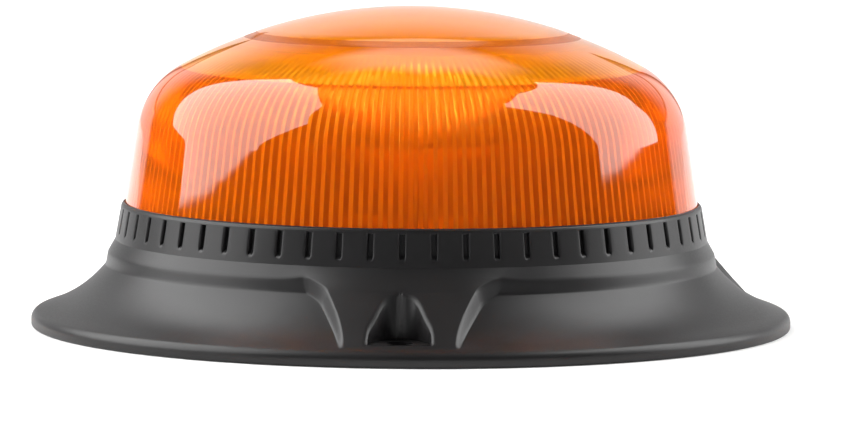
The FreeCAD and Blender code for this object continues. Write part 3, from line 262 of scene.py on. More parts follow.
@dataclass(frozen=True)
class AmberPolycarbonate:
    """Amber polycarbonate, injection moulded: clear, glossy and deep orange.

    Each face tints the light that passes it, so that a look through both walls of the dome is a red
    orange. The prisms' ends get a paler copy of the amber and the fans a yellower one, painted highlight,
    so that their lit tips stay yellow; the ring at the cap's foot gets a darker copy, painted shade. The
    moulded prisms also scatter some light, so the whole dome glows evenly. Lamps shine straight through
    the wall, tinted, so that the works inside are lit.

    Attributes:
        name: The finish's name.
        tint: Colour of light that has gone through one wall.
        glow: Colour of the light that the moulding scatters.
        haze: Share of light that is scattered.
        thrown_back: Share of the scattered light that leaves by the face it fell on.
        ior: Index of refraction of polycarbonate.
        roughness: Nearly none on a polished tool.
    """

    name: str
    tint: str = "#F0B834"
    glow: str = "#FF9716"
    haze: float = 0.0
    thrown_back: float = 0.85
    ior: float = 1.585
    roughness: float = 0.02

    def build(self) -> bpy.types.Material:
        """Make the node material.

        Returns:
            The material, ready for a slot.
        """
        material, tree = new_material(self.name)
        place = add_node(tree, "ShaderNodeTexCoord").outputs["Object"]
        flow = add_node(
            tree, "ShaderNodeTexNoise", {"Vector": place, "Scale": 1 / (9 * MM), "Detail": 2.0},
        ).outputs["Fac"]
        bump = add_node(
            tree, "ShaderNodeBump", {"Height": flow, "Strength": 1.0, "Distance": 0.004 * MM},
        ).outputs["Normal"]
        glass = add_node(
            tree, "ShaderNodeBsdfPrincipled",
            {"Base Color": linear(self.tint), "Roughness": self.roughness, "IOR": self.ior,
             "Transmission Weight": 1.0, "Normal": bump},
        ).outputs["BSDF"]
        if self.haze:
            scattered = {"Color": linear(self.glow)}
            inwards = add_node(tree, "ShaderNodeBsdfTranslucent", scattered).outputs["BSDF"]
            outwards = add_node(tree, "ShaderNodeBsdfDiffuse", scattered).outputs["BSDF"]
            cloud = add_node(
                tree, "ShaderNodeMixShader", {0: self.thrown_back, 1: inwards, 2: outwards},
            ).outputs["Shader"]
            glass = add_node(
                tree, "ShaderNodeMixShader", {0: self.haze, 1: glass, 2: cloud},
            ).outputs["Shader"]
        face_tint = tuple(math.sqrt(c) for c in linear(self.tint))
        clear = add_node(tree, "ShaderNodeBsdfTransparent", {"Color": face_tint}).outputs["BSDF"]
        shadow = add_node(tree, "ShaderNodeLightPath").outputs["Is Shadow Ray"]
        surface = add_node(tree, "ShaderNodeMixShader", {0: shadow, 1: glass, 2: clear})
        add_node(tree, "ShaderNodeOutputMaterial", {"Surface": surface.outputs["Shader"]})
        return material


@dataclass(frozen=True)
class LedPhosphor:
    """Unlit power LED: a matt yellow phosphor under a clear silicone lens on a white package.

    Attributes:
        package: Colour of the package.
        phosphor: Colour of the phosphor.
        grain_mm: Width of one grain of phosphor, in millimetres.
    """

    package: str = "#E9E7E0"
    phosphor: str = "#D9B23A"
    grain_mm: float = 0.6

    def build(self) -> bpy.types.Material:
        """Make the node material: grains of the phosphor's yellow mixed with the package's white.

        Returns:
            The material, ready for a slot.
        """
        material, tree = new_material("led_phosphor_silicone")
        place = add_node(tree, "ShaderNodeTexCoord").outputs["Object"]
        grain = add_node(
            tree, "ShaderNodeTexNoise", {"Vector": place, "Scale": 1 / (self.grain_mm * MM)},
        ).outputs["Fac"]
        colour = add_node(
            tree, "ShaderNodeMix",
            {0: grain, 6: linear(self.phosphor), 7: linear(self.package)}, data_type="RGBA",
        ).outputs[2]
        shader = add_node(
            tree, "ShaderNodeBsdfPrincipled",
            {"Base Color": colour, "Roughness": 0.3, "Coat Weight": 0.6, "IOR": 1.41},
        )
        add_node(tree, "ShaderNodeOutputMaterial", {"Surface": shader.outputs["BSDF"]})
        return material


class Paintbox:
    """Makes each finish once and hands it out by its slot in the record."""

    def __init__(self) -> None:
        """Start with no material made."""
        self._made: dict[str, bpy.types.Material] = {}

    def slot(self, name: str) -> bpy.types.Material:
        """Give the material of a slot.

        Args:
            name: The record's material slot.

        Returns:
            The material, made on first use.
        """
        if name not in self._made:
            special = {
                "lens_amber": AmberPolycarbonate("polycarbonate_amber_polished"),
                "lens_prisms": AmberPolycarbonate(
                    "polycarbonate_amber_prisms", tint="#E2740C", glow="#FFA41A", haze=0.5, roughness=0.035),
                # A pale, hazier copy of the amber for the prisms' upper ends: painted highlight of the light
                # they catch.
                "lens_prism_ends_painted_highlight": AmberPolycarbonate(
                    "polycarbonate_amber_prism_ends_painted_highlight", tint="#FFE090", glow="#FFF6C8", haze=0.85,
                    roughness=0.2),
                # A lighter, yellower copy of the amber for the fans under the crown: painted highlight of the
                # side light.
                "lens_fans": AmberPolycarbonate(
                    "polycarbonate_amber_fans_painted_highlight", tint="#FAAC34", glow="#F8CC44", haze=0.32, roughness=0.05),
                "lens_crown": AmberPolycarbonate(
                    "polycarbonate_amber_crown", tint="#F0A834", glow="#F0B43C", haze=0.5, roughness=0.06),
                # A darker copy of the amber for the ring at the foot of the cap: painted shade of the step.
                "lens_step_painted_shade": AmberPolycarbonate(
                    "polycarbonate_amber_step_painted_shade", tint="#B86C26", glow="#B46420", haze=0.4, roughness=0.1),
                "led_phosphor": LedPhosphor(),
            }
            finish = special.get(name) or FINISHES[name]
            self._made[name] = finish.build()
        return self._made[name]


# ---- Meshes --------------------------------------------------------------------------------------
class Draft:
    """Points and faces of one mesh while it is put together from rings about the Z axis."""

    def __init__(self) -> None:
        """Start empty."""
        self.points: list[np.ndarray] = []
        self.faces: list[tuple[int, ...]] = []
        self.finish = 0
        self._finishes: list[int] = []
        self._count = 0

    def ring(self, radii: np.ndarray, levels: np.ndarray, angles: np.ndarray) -> np.ndarray:
        """Add a closed ring of points.

        Args:
            radii: Distance of each point from the axis.
            levels: Height of each point.
            angles: Direction of each point, in radians.

        Returns:
            The points' indices.
        """
        made = np.stack([radii * np.cos(angles), radii * np.sin(angles), levels + 0 * radii], axis=1)
        self.points.append(made)
        indices = np.arange(self._count, self._count + len(made))
        self._count += len(made)
        return indices

    def bridge(self, a: np.ndarray, b: np.ndarray, open_at: np.ndarray | None = None) -> None:
        """Join two rings, where one may have a whole number of times as many points as the other.

        Args:
            a: Indices of the first ring.
            b: Indices of the next ring, in the direction that keeps faces pointing outwards.
            open_at: Where true, no face is made after that point of the ring.
        """
        count = min(len(a), len(b))
        per_a, per_b = len(a) // count, len(b) // count
        for i in range(count):
            if open_at is not None and open_at[i]:
                continue
            side_a = [int(a[(i * per_a + k) % len(a)]) for k in range(per_a + 1)]
            side_b = [int(b[(i * per_b + k) % len(b)]) for k in range(per_b + 1)]
            self._face(tuple(side_a + side_b[::-1]))

    def add(self, points: np.ndarray, faces: Sequence[Sequence[int]]) -> None:
        """Add ready-made faces.

        Args:
            points: Their points, one row each.
            faces: The points of each face, as rows of that array.
        """
        used = sorted({i for face in faces for i in face})
        place = {old: self._count + new for new, old in enumerate(used)}
        self.points.append(points[used])
        self._count += len(used)
        for face in faces:
            self._face(tuple(place[i] for i in face))

    def close(self, ring: np.ndarray, level: float, upwards: bool) -> None:
        """Fill a ring with a fan about a point on the axis.

        Args:
            ring: Indices of the ring.
            level: Height of the middle point.
            upwards: Whether the fan faces up.
        """
        middle = int(self.ring(np.zeros(1), np.array([level]), np.zeros(1))[0])
        for i in range(len(ring)):
            here, after = int(ring[i]), int(ring[(i + 1) % len(ring)])
            self._face((here, after, middle) if upwards else (after, here, middle))

    def _face(self, corners: tuple[int, ...]) -> None:
        """Add one face in the finish that is in use."""
        self.faces.append(corners)
        self._finishes.append(self.finish)

    def build(
        self, name: str, materials: Sequence[bpy.types.Material], smooth_deg: float,
    ) -> bpy.types.Object:
        """Make the object.

        Args:
            name: The piece's name.
            materials: What it is made of, in the order of the finishes' numbers.
            smooth_deg: Edges that turn by less than this are shaded smooth.

        Returns:
            The linked object.
        """
        mesh = bpy.data.meshes.new(name)
        mesh.from_pydata(np.concatenate(self.points).tolist(), [], self.faces)
        mesh.update()
        for material in materials:
            mesh.materials.append(material)
        mesh.polygons.foreach_set("material_index", self._finishes)
        mesh.shade_smooth()
        mesh.set_sharp_from_angle(angle=math.radians(smooth_deg))
        made = bpy.data.objects.new(name, mesh)
        bpy.context.scene.collection.objects.link(made)
        return made


def arc(centre: tuple[float, float], radius: float, start: float, end: float, steps: int) -> Profile:
    """Points of an arc in the (r, z) plane.

    Args:
        centre: The arc's centre.
        radius: Its radius.
        start: First angle in radians, from the outward direction.
        end: Last angle.
        steps: How many stretches it has.

    Returns:
        The points, both ends included.
    """
    return [
        (centre[0] + radius * math.cos(start + (end - start) * i / steps),
         centre[1] + radius * math.sin(start + (end - start) * i / steps))
        for i in range(steps + 1)
    ]


def line(start: tuple[float, float], end: tuple[float, float], steps: int) -> Profile:
    """Evenly spaced points of a straight stretch, without its first one."""
    return [
        (start[0] + (end[0] - start[0]) * i / steps, start[1] + (end[1] - start[1]) * i / steps)
        for i in range(1, steps + 1)
    ]


# ---- Dome ----------------------------------------------------------------------------------------
class DomeFinish(Enum):
    """Finishes of the dome's faces, in the order of its materials."""

    SKIN = 0
    PRISMS = 1
    # PRISM_ENDS_PAINTED_HIGHLIGHT: pale amber on the prisms' upper ends, painted highlight.
    PRISM_ENDS_PAINTED_HIGHLIGHT = 2
    # FANS: yellower amber on the fans under the crown, painted highlight.
    FANS = 3
    CROWN = 4
    # STEP: the darker amber ring at the cap's foot, painted shade.
    STEP = 5


@dataclass
class Dome:
    """Amber dome with its prisms, its spigot and the ring that stands in the collar.

    Attributes:
        top: Level of the crown.
        foot_radius: Radius where the wall meets the collar.
        seat: Level of that foot.
        draft_deg: Lean of the wall.
        shoulder: Radius of the arc between wall and crown.
        crown: Radius of the crown's curve.
        cap_radius: Edge of the raised disc on the crown.
        cap_step: Its height.
        step_width: Width of the ring at its foot that takes a darker copy of the amber, painted shade for the
            step.
        wall: Thickness behind the prisms.
        prisms: How many prisms go round the inside.
        depth: Height of a prism on the wall.
    """

    paints: Paintbox
    top: float = 67.3 * MM
    foot_radius: float = 60.35 * MM
    seat: float = 25.4 * MM
    draft_deg: float = 8.6
    shoulder: float = 18.0 * MM
    crown: float = 102.0 * MM
    cap_radius: float = 32.8 * MM
    cap_step: float = 0.15 * MM
    step_width: float = 2.6 * MM
    wall: float = 2.2 * MM
    prisms: int = 180
    points_per_prism: int = 8
    depth: float = 0.75 * MM
    prism_top: float = 53.3 * MM
    upper_depth: float = 0.6 * MM
    upper_end_radius: float = 37.0 * MM
    spigot_radius: float = 58.6 * MM
    spigot_wall: float = 1.7 * MM
    spigot_foot: float = 20.2 * MM
    columns: int = 360

    def build(self) -> bpy.types.Object:
        """Build the dome, which stands for the CAD lens.

        Returns:
            The piece.
        """
        draft = Draft()
        coarse = np.arange(self.columns) * 2 * math.pi / self.columns
        outline = self._outside()
        outside = [self._ring(draft, r, z, coarse) for r, z in outline]
        for i in range(len(outside) - 1):
            middle = (outline[i][0] + outline[i + 1][0]) / 2
            # The ring at the foot of the cap gets the darker amber: painted shade of the step.
            on_painted_shade_ring = self.cap_radius < middle < self.cap_radius + self.step_width
            draft.finish = DomeFinish.STEP.value if on_painted_shade_ring else DomeFinish.SKIN.value
            draft.bridge(outside[i], outside[i + 1])
        draft.close(outside[-1], self.top, True)

        fine, tooth = self._prism_columns()
        inside = []
        rows = self._inside()
        for r, z, depth, lean in rows:
            radii = r - depth * tooth * math.cos(lean)
            levels = z - depth * tooth * math.sin(lean)
            inside.append(draft.ring(radii, levels, fine))
        end = next(i for i, row in enumerate(rows) if row[2] < self.depth)
        # The ledge at the prisms' upper ends gets the pale amber: painted highlight.
        draft.finish = DomeFinish.PRISM_ENDS_PAINTED_HIGHLIGHT.value
        self._chain(draft, inside[end - 1:end + 1][::-1])
        draft.finish = DomeFinish.PRISMS.value
        self._chain(draft, inside[:end][::-1])
        # The fans above the prisms get the yellower amber: painted highlight.
        draft.finish = DomeFinish.FANS.value
        self._chain(draft, inside[end:][::-1])
        draft.finish = DomeFinish.CROWN.value
        ceiling = [self._ring(draft, r, z, coarse) for r, z in self._ceiling()]
        draft.bridge(ceiling[0], inside[-1])
        self._chain(draft, ceiling[::-1])
        draft.close(ceiling[-1], self.top - self.cap_step - self.wall, False)
        draft.finish = DomeFinish.SKIN.value

        inner = self.spigot_radius - self.spigot_wall
        foot = [(inner, self.seat), (inner, self.spigot_foot), (self.spigot_radius, self.spigot_foot),
                (self.spigot_radius, self.seat)]
        rings = [self._ring(draft, r, z, coarse) for r, z in foot]
        draft.bridge(inside[0], rings[0])
        self._chain(draft, rings)
        draft.bridge(rings[-1], outside[0])
        finishes = [self.paints.slot(name) for name in
                    ("lens_amber", "lens_prisms", "lens_prism_ends_painted_highlight", "lens_fans", "lens_crown", "lens_step_painted_shade")]
        piece = draft.build("amber_dome", finishes, 35.0)
        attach(piece, "housing")
        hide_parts("dome_lens")
        return piece

    @staticmethod
    def _ring(draft: Draft, radius: float, level: float, angles: np.ndarray) -> np.ndarray:
        """Add a plain ring at one radius and level."""
        return draft.ring(np.full(len(angles), radius), np.full(len(angles), level), angles)

    @staticmethod
    def _chain(draft: Draft, rings: Sequence[np.ndarray]) -> None:
        """Bridge each ring to the next."""
        for a, b in zip(rings, rings[1:]):
            draft.bridge(a, b)

    def _shoulder_centre(self) -> tuple[float, float]:
        """Centre of the arc that joins the drafted wall to the crown, in (r, z)."""
        lean = math.radians(self.draft_deg)
        crown_z = self.top - self.crown
        a = self.foot_radius - self.shoulder / math.cos(lean)
        t = math.tan(lean)
        s = self.seat - crown_z
        q = self.crown - self.cap_step - self.shoulder
        b = s - a * t
        k = 1 + t * t
        u = (-b + math.sqrt(b * b - k * (a * a + s * s - q * q))) / k
        return a - t * u, self.seat + u

    def _crown_level(self, radius: float, crown: float) -> float:
        """Level of a crown of that curve at a distance from the axis."""
        return self.top - self.crown + math.sqrt(crown * crown - radius * radius)

    def _outside(self) -> Profile:
        """Outline of the dome's outside from its foot to near the top."""
        lean = math.radians(self.draft_deg)
        centre = self._shoulder_centre()
        crown_z = self.top - self.crown
        to_crown = math.atan2(centre[1] - crown_z, centre[0])
        shoulder = arc(centre, self.shoulder, lean, to_crown, 26)
        edge = 0.15 * MM
        foot = (self.foot_radius - edge, self.seat)
        wall = [foot] + line(foot, (self.foot_radius - 0.02 * MM, self.seat + edge), 1)
        wall += line(wall[-1], shoulder[0], 14)
        crown = self.crown - self.cap_step
        points = wall + shoulder[1:]
        start = points[-1][0]
        step_edge, outer_edge = self.cap_radius + self.step_width, self.cap_radius + 0.6 * MM
        for radius in [start + (step_edge - start) * i / 5 for i in range(1, 6)] + [outer_edge]:
            points.append((radius, self._crown_level(radius, crown)))
        for i in range(13):
            radius = (self.cap_radius - 0.1 * MM) * (1 - i / 13)
            points.append((radius, self._crown_level(radius, self.crown)))
        return points

    def _prism_columns(self) -> tuple[np.ndarray, np.ndarray]:
        """Directions of the inside's columns, and each one's share of a prism's height."""
        count = self.prisms * self.points_per_prism
        share = (np.arange(count) / self.points_per_prism) % 1.0
        wave = 1 - np.abs(2 * share - 1)
        rounded = 0.5 - 0.5 * np.cos(math.pi * wave)
        return np.arange(count) * 2 * math.pi / count, 0.75 * wave + 0.25 * rounded

    def _inside(self) -> list[tuple[float, float, float, float]]:
        """Rows of the prismed inside as radius, level, prism height and the skin's lean."""
        lean = math.radians(self.draft_deg)
        centre = self._shoulder_centre()
        rho = self.shoulder - self.wall
        bend = (centre[0] + rho * math.cos(lean), centre[1] + rho * math.sin(lean))
        foot = (self.foot_radius - self.wall / math.cos(lean), self.seat)
        rows = [(r, z, self.depth, lean) for r, z in [foot] + line(foot, bend, 10)]
        turn = math.asin((self.prism_top - centre[1]) / rho)
        for r, z in arc(centre, rho, lean, turn, 6)[1:]:
            rows.append((r, z, self.depth, math.atan2(z - centre[1], r - centre[0])))
        crown_z = self.top - self.crown
        to_crown = math.atan2(centre[1] - crown_z, centre[0])
        steps = 12
        for i, (r, z) in enumerate(arc(centre, rho, turn + 0.045, to_crown, steps)):
            depth = self.upper_depth * (1 - 0.5 * i / steps)
            rows.append((r, z, depth, math.atan2(z - centre[1], r - centre[0])))
        crown = self.crown - self.cap_step - self.wall
        start = rows[-1][0]
        for i in range(1, 5):
            radius = start + (self.upper_end_radius - start) * i / 4
            z = self._crown_level(radius, crown)
            rows.append((radius, z, self.upper_depth * 0.5 * (1 - i / 4), math.pi / 2))
        return rows

    def _ceiling(self) -> Profile:
        """Outline of the plain ceiling from the ribs' end to near the axis."""
        crown = self.crown - self.cap_step - self.wall
        radii = [(self.upper_end_radius - 0.2 * MM) * (1 - i / 9) for i in range(9)]
        return [(r, self._crown_level(r, crown)) for r in radii]


# ---- Base ----------------------------------------------------------------------------------------
def smooth_step(share: np.ndarray) -> np.ndarray:
    """Ease from zero to one as the share goes from zero to one."""
    held = np.clip(share, 0.0, 1.0)
    return held * held * (3 - 2 * held)


def spaced(start: float, bands: Sequence[tuple[float, int]]) -> list[float]:
    """Numbers that are evenly spaced within each of several bands.

    Args:
        start: The first number.
        bands: Where each band ends, and how many steps it has.

    Returns:
        The numbers, the start and every band's end included.
    """
    numbers = [start]
    for end, steps in bands:
        numbers += np.linspace(numbers[-1], end, steps + 1)[1:].tolist()
    return numbers


@dataclass
class Base:
    """Black base, moulded with soft edges: a slotted collar, a stepped flange, and three bolt bosses.

    The skin is made here as rows of points about the axis, whose columns follow the edges of the bosses,
    the wells and the slots. The cup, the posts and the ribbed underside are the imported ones.

    Attributes:
        shoulder: Where the collar's foot meets the shoulder, as radius and level.
        step_top: Upper edge of the upright step round the shoulder.
        step_foot: Its lower edge.
        brow: Where a boss leaves the collar's foot.
        neck: Where its straight slope begins.
        slope_foot: Where it meets the rim's slope.
        flange_edge: Where the hollow of the flange ends.
        flange_sag: Depth of that hollow.
        well_apex: Distance from the axis to the top of a well's arch.
        well_mouth: Distance to where a well runs out of the slope.
        well_half_width: Half the width of a well at its mouth.
        lip: Rounding round a well.
        band: Width of a boss's leaning side.
        blend: Width over which a boss fades into the shoulder.
        boss_half_width: Half the width of a boss at a well's mouth.
        boss_spread: What the straight widening adds on each side, 10 mm further in.
        boss_sweep: What the last sweep into the shoulder adds on each side.
        sweep_length: Length of that sweep.
        rim_radius: Outer radius.
        rim_corner: Rounding of the rim's upper edge.
        rim_slope_deg: Slope of the rim's top.
        rim_foot: Level of the rim's foot.
        underside: Level of the underside.
        rim_foot_corner: Rounding of the rim's foot.
        well_floor: Level of the wells' floors.
        collar_top: Upper outer corner of the collar, as radius and level.
        collar_corner: Rounding of that corner.
        collar_bore: Inner radius of the collar.
        slots: Number of slots round the collar.
        slot_width: Width of a slot.
        slot_depth: Depth of a slot.
        slot_top: Level of a slot's upper end.
        slot_foot: Level of its lower end.
        slot_run: Height over which a slot runs out at its foot.
        slot_edge: The same at its top, which is nearly square.
        front_deg: Bearing of the first boss.
        bosses: Number of bosses.
    """

    paints: Paintbox
    shoulder: tuple[float, float] = (62.38 * MM, 18.3 * MM)
    step_top: tuple[float, float] = (64.05 * MM, 15.3 * MM)
    step_foot: tuple[float, float] = (64.25 * MM, 13.1 * MM)
    brow: tuple[float, float] = (62.95 * MM, 17.75 * MM)
    neck: tuple[float, float] = (66.5 * MM, 13.95 * MM)
    slope_foot: tuple[float, float] = (77.8 * MM, 3.654 * MM)
    flange_edge: tuple[float, float] = (76.3 * MM, 4.2 * MM)
    flange_sag: float = 1.03 * MM
    rim_radius: float = 80.0 * MM
    rim_corner: float = 1.8 * MM
    rim_slope_deg: float = 20.0
    rim_foot: float = 0.05 * MM
    underside: float = 0.4 * MM
    rim_foot_corner: float = 0.5 * MM
    well_apex: float = 66.75 * MM
    well_mouth: float = 77.0 * MM
    well_half_width: float = 6.3 * MM
    well_floor: float = 4.4 * MM
    lip: float = 0.9 * MM
    band: float = 1.25 * MM
    blend: float = 11.0 * MM
    boss_half_width: float = 12.3 * MM
    boss_spread: float = 3.4 * MM
    boss_sweep: float = 2.8 * MM
    sweep_length: float = 2.4 * MM
    collar_top: tuple[float, float] = (61.05 * MM, 25.85 * MM)
    collar_corner: float = 0.4 * MM
    collar_bore: float = 60.55 * MM
    slots: int = 60
    slot_width: float = 1.0 * MM
    slot_depth: float = 1.05 * MM
    slot_top: float = 25.1 * MM
    slot_foot: float = 19.6 * MM
    slot_run: float = 1.1 * MM
    slot_edge: float = 0.2 * MM
    front_deg: float = -90.0
    bosses: int = 3

    def build(self) -> bpy.types.Object:
        """Build the base, which stands for the CAD housing.

        Returns:
            The piece.
        """
        draft = Draft()
        self._flange(draft)
        self._collar(draft)
        self._core(draft)
        piece = draft.build("base_moulding", [self.paints.slot("base_black")], 34.0)
        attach(piece, "housing")
        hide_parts("base_housing")
        return piece

    def _rim_level(self, radius: np.ndarray) -> np.ndarray:
        """Level of the rim's slope at distances from the axis."""
        beyond = radius - self.flange_edge[0]
        return self.flange_edge[1] - math.tan(math.radians(self.rim_slope_deg)) * beyond

    def _boss_level(self, radius: np.ndarray) -> np.ndarray:
        """Level of a boss, from the collar's foot down to the rim."""
        radii, levels = zip(self.shoulder, self.brow, self.neck, self.slope_foot)
        boss = np.interp(radius, radii, levels)
        return np.where(radius < self.slope_foot[0], boss, self._rim_level(radius))

    def _shoulder_level(self, radius: np.ndarray) -> np.ndarray:
        """Level of the shoulder between two bosses, with a rounded edge over the step."""
        (r0, z0), (r1, z1), (r2, z2) = self.shoulder, self.step_top, self.neck
        t = np.linspace(0, 1, 13)
        ease = 0.6 * MM
        before = (r1 - ease * 0.5, z1 + ease * 0.5 * (z0 - z1) / (r1 - r0))
        after = (r1 + ease * 1.4, z1 - ease * 1.4 * (z1 - z2) / (r2 - r1))
        bend_r = (1 - t) ** 2 * before[0] + 2 * t * (1 - t) * r1 + t * t * after[0]
        bend_z = (1 - t) ** 2 * before[1] + 2 * t * (1 - t) * z1 + t * t * after[1]
        return np.interp(radius, np.concatenate([[r0], bend_r, [r2]]), np.concatenate([[z0], bend_z, [z2]]))

    def _panel_level(self, radius: np.ndarray) -> np.ndarray:
        """Level of the hollow flange between two bosses."""
        (r0, z0), (r1, z1) = self.step_foot, self.flange_edge
        length = math.hypot(r1 - r0, z1 - z0)
        t = np.linspace(0, 1, 60)
        hang = 4 * self.flange_sag * t * (1 - t)
        radii = r0 + (r1 - r0) * t + hang * (z1 - z0) / length
        levels = z0 + (z1 - z0) * t - hang * (r1 - r0) / length
        inside = np.interp(radius, radii, levels) + np.maximum(0, r0 - radius)
        return np.where(radius < r1, inside, self._rim_level(radius))

    def _well_width(self, radius: np.ndarray) -> np.ndarray:
        """Half the width of a well: a bell, round at its top and widening to the mouth."""
        u = np.clip((radius - self.well_apex) / (self.well_mouth - self.well_apex), 0, 1)
        arch = (1 - (1 - u) ** 2.2) ** 0.55
        waist = 0.1 * np.sin(math.pi * np.clip(u / 0.75, 0, 1)) ** 2
        return self.well_half_width * np.maximum(arch - waist, 0.05)

    def _boss_width(self, radius: np.ndarray) -> np.ndarray:
        """Half the width of a boss at the foot of its side, sweeping out into the shoulder."""
        inwards = np.maximum(0, (self.well_mouth - radius) / (10 * MM))
        sweep = np.clip(1 - (radius - self.step_top[0]) / self.sweep_length, 0, 1)
        return self.boss_half_width + self.boss_spread * inwards ** 1.6 + self.boss_sweep * sweep ** 2

    def _flange_columns(self, radius: float) -> np.ndarray:
        """Directions of one row's points over half a boss's sector, from its middle outwards.

        Args:
            radius: The row's distance from the axis.

        Returns:
            Angles in radians from the boss's middle, the sector's edge left out.
        """
        well = float(self._well_width(np.array(radius)))
        foot = float(self._boss_width(np.array(radius)))
        top = foot - self.band
        inner = well * np.array([0.0, 0.35, 0.65, 0.88, 0.985, 1.0])
        lip = well + self.lip * np.array([0.1, 0.3, 0.6, 1.0, 1.3])
        land = lip[-1] + (top - 0.4 * MM - lip[-1]) * np.array([0.3, 0.6, 0.85, 1.0])
        side = top + self.band * np.linspace(-0.1, 1.1, 10)
        spread = np.concatenate([inner, lip, land, side])
        angles = np.arcsin(spread / radius)
        edge = math.pi / self.bosses
        steps = 46
        rest = angles[-1] + (edge - angles[-1]) * np.arange(1, steps) / steps
        return np.concatenate([angles, rest])

    def _flange(self, draft: Draft) -> None:
        """Add the skin from the rim's foot up to the collar."""
        corner, foot = self.rim_corner, self.rim_foot_corner
        slope = math.radians(self.rim_slope_deg)
        top_r = self.rim_radius - corner
        top_z = float(self._rim_level(np.array(top_r + corner * math.sin(slope)))) - corner * math.cos(slope)
        rim = [(self.rim_radius - foot, self.underside)]
        rim += arc((self.rim_radius - foot, self.rim_foot + foot), foot, -math.pi / 2, 0, 4)
        rim += arc((top_r, top_z), corner, 0, math.pi / 2 - slope, 9)
        # Rows lie close together where a well begins and on the step's edge.
        radii = spaced(self.slope_foot[0], (
            (self.flange_edge[0], 4), (70.2 * MM, 11), (67.9 * MM, 5), (66.95 * MM, 5), (self.well_apex, 4),
            (66.35 * MM, 4), (65.2 * MM, 4), (64.5 * MM, 5), (63.86 * MM, 8), (self.shoulder[0], 6),
        ))
        rows = [(r, z) for r, z in rim] + [(r, None) for r in radii]
        mouth = self._well_outline()
        made, inside_rows = [], []
        for radius, level in rows:
            half = self._flange_columns(radius)
            edge = math.pi / self.bosses
            sector = np.concatenate([half, [edge], 2 * edge - half[:0:-1]])
            levels, inside = self._flange_levels(radius, level, half, mouth)
            middle = float(self._flange_levels(radius, level, np.array([edge]), mouth)[0][0])
            levels = np.concatenate([levels, [middle], levels[:0:-1]])
            inside = np.concatenate([inside, [False], inside[:0:-1]])
            turns = [sector + math.radians(self.front_deg) + 2 * edge * b for b in range(self.bosses)]
            angles = np.concatenate(turns)
            made.append(draft.ring(np.full(len(angles), radius), np.tile(levels, self.bosses), angles))
            inside_rows.append(np.tile(inside, self.bosses))
        for i in range(len(made) - 1):
            a, b = inside_rows[i], inside_rows[i + 1]
            draft.bridge(made[i], made[i + 1], a & b & np.roll(a, -1) & np.roll(b, -1))

    def _well_outline(self) -> np.ndarray:
        """Points of one side of a well's edge, as distance along and across the boss."""
        radii = np.linspace(self.well_apex, self.well_mouth + 2 * MM, 260)
        across = np.where(radii > self.well_apex + 0.001 * MM, self._well_width(radii), 0.0)
        return np.stack([np.sqrt(radii ** 2 - across ** 2), across], axis=1)

    def _flange_levels(
        self, radius: float, level: float | None, angles: np.ndarray, mouth: np.ndarray,
    ) -> tuple[np.ndarray, np.ndarray]:
        """Levels of one row's points over half a sector.

        Args:
            radius: The row's distance from the axis.
            level: The row's level on the rim, or None where the bosses shape it.
            angles: Directions from the boss's middle.
            mouth: The well's edge.

        Returns:
            The levels, and whether each point lies on a well's floor.
        """
        if level is not None:
            return np.full(len(angles), level), np.zeros(len(angles), bool)
        across = radius * np.sin(angles)
        along = radius * np.cos(angles)
        boss = float(self._boss_level(np.array(radius)))
        panel = float(self._panel_level(np.array(radius)))
        foot = float(self._boss_width(np.array(radius)))
        side = smooth_step((across - (foot - self.band)) / self.band)
        side = np.where(angles > 0.6, 1.0, side)
        step = float(smooth_step(np.array((radius - 63.82 * MM) / (0.62 * MM))))
        shoulder = min(boss, float(self._shoulder_level(np.array(radius))))
        spread = smooth_step((across - (foot - self.blend / 2)) / self.blend)
        upper = boss - (boss - shoulder) * np.where(angles > 0.6, 1.0, spread)
        levels = upper - np.maximum(0.0, upper - panel) * side * step
        ahead = along[:, None] - mouth[None, :, 0]
        aside = across[:, None] - mouth[None, :, 1]
        apart = np.sqrt(ahead ** 2 + aside ** 2).min(1)
        well = float(self._well_width(np.array(radius)))
        within = (across < well * 0.99) & (radius > self.well_apex + 0.01 * MM) & (angles < 0.3)
        share = np.clip(apart / self.lip, 0, 1)
        drop = self.lip * (1 - np.sqrt(1 - (1 - share) ** 2))
        deep = np.minimum(levels, self.well_floor - 0.05 * MM)
        near = (angles < 0.3) & (levels > self.well_floor)
        levels = np.where(near & ~within, np.maximum(levels - drop, deep), levels)
        levels = np.where(within, deep, levels)
        return levels, within & (levels < self.well_floor) & (radius < self.well_mouth - 0.2 * MM)

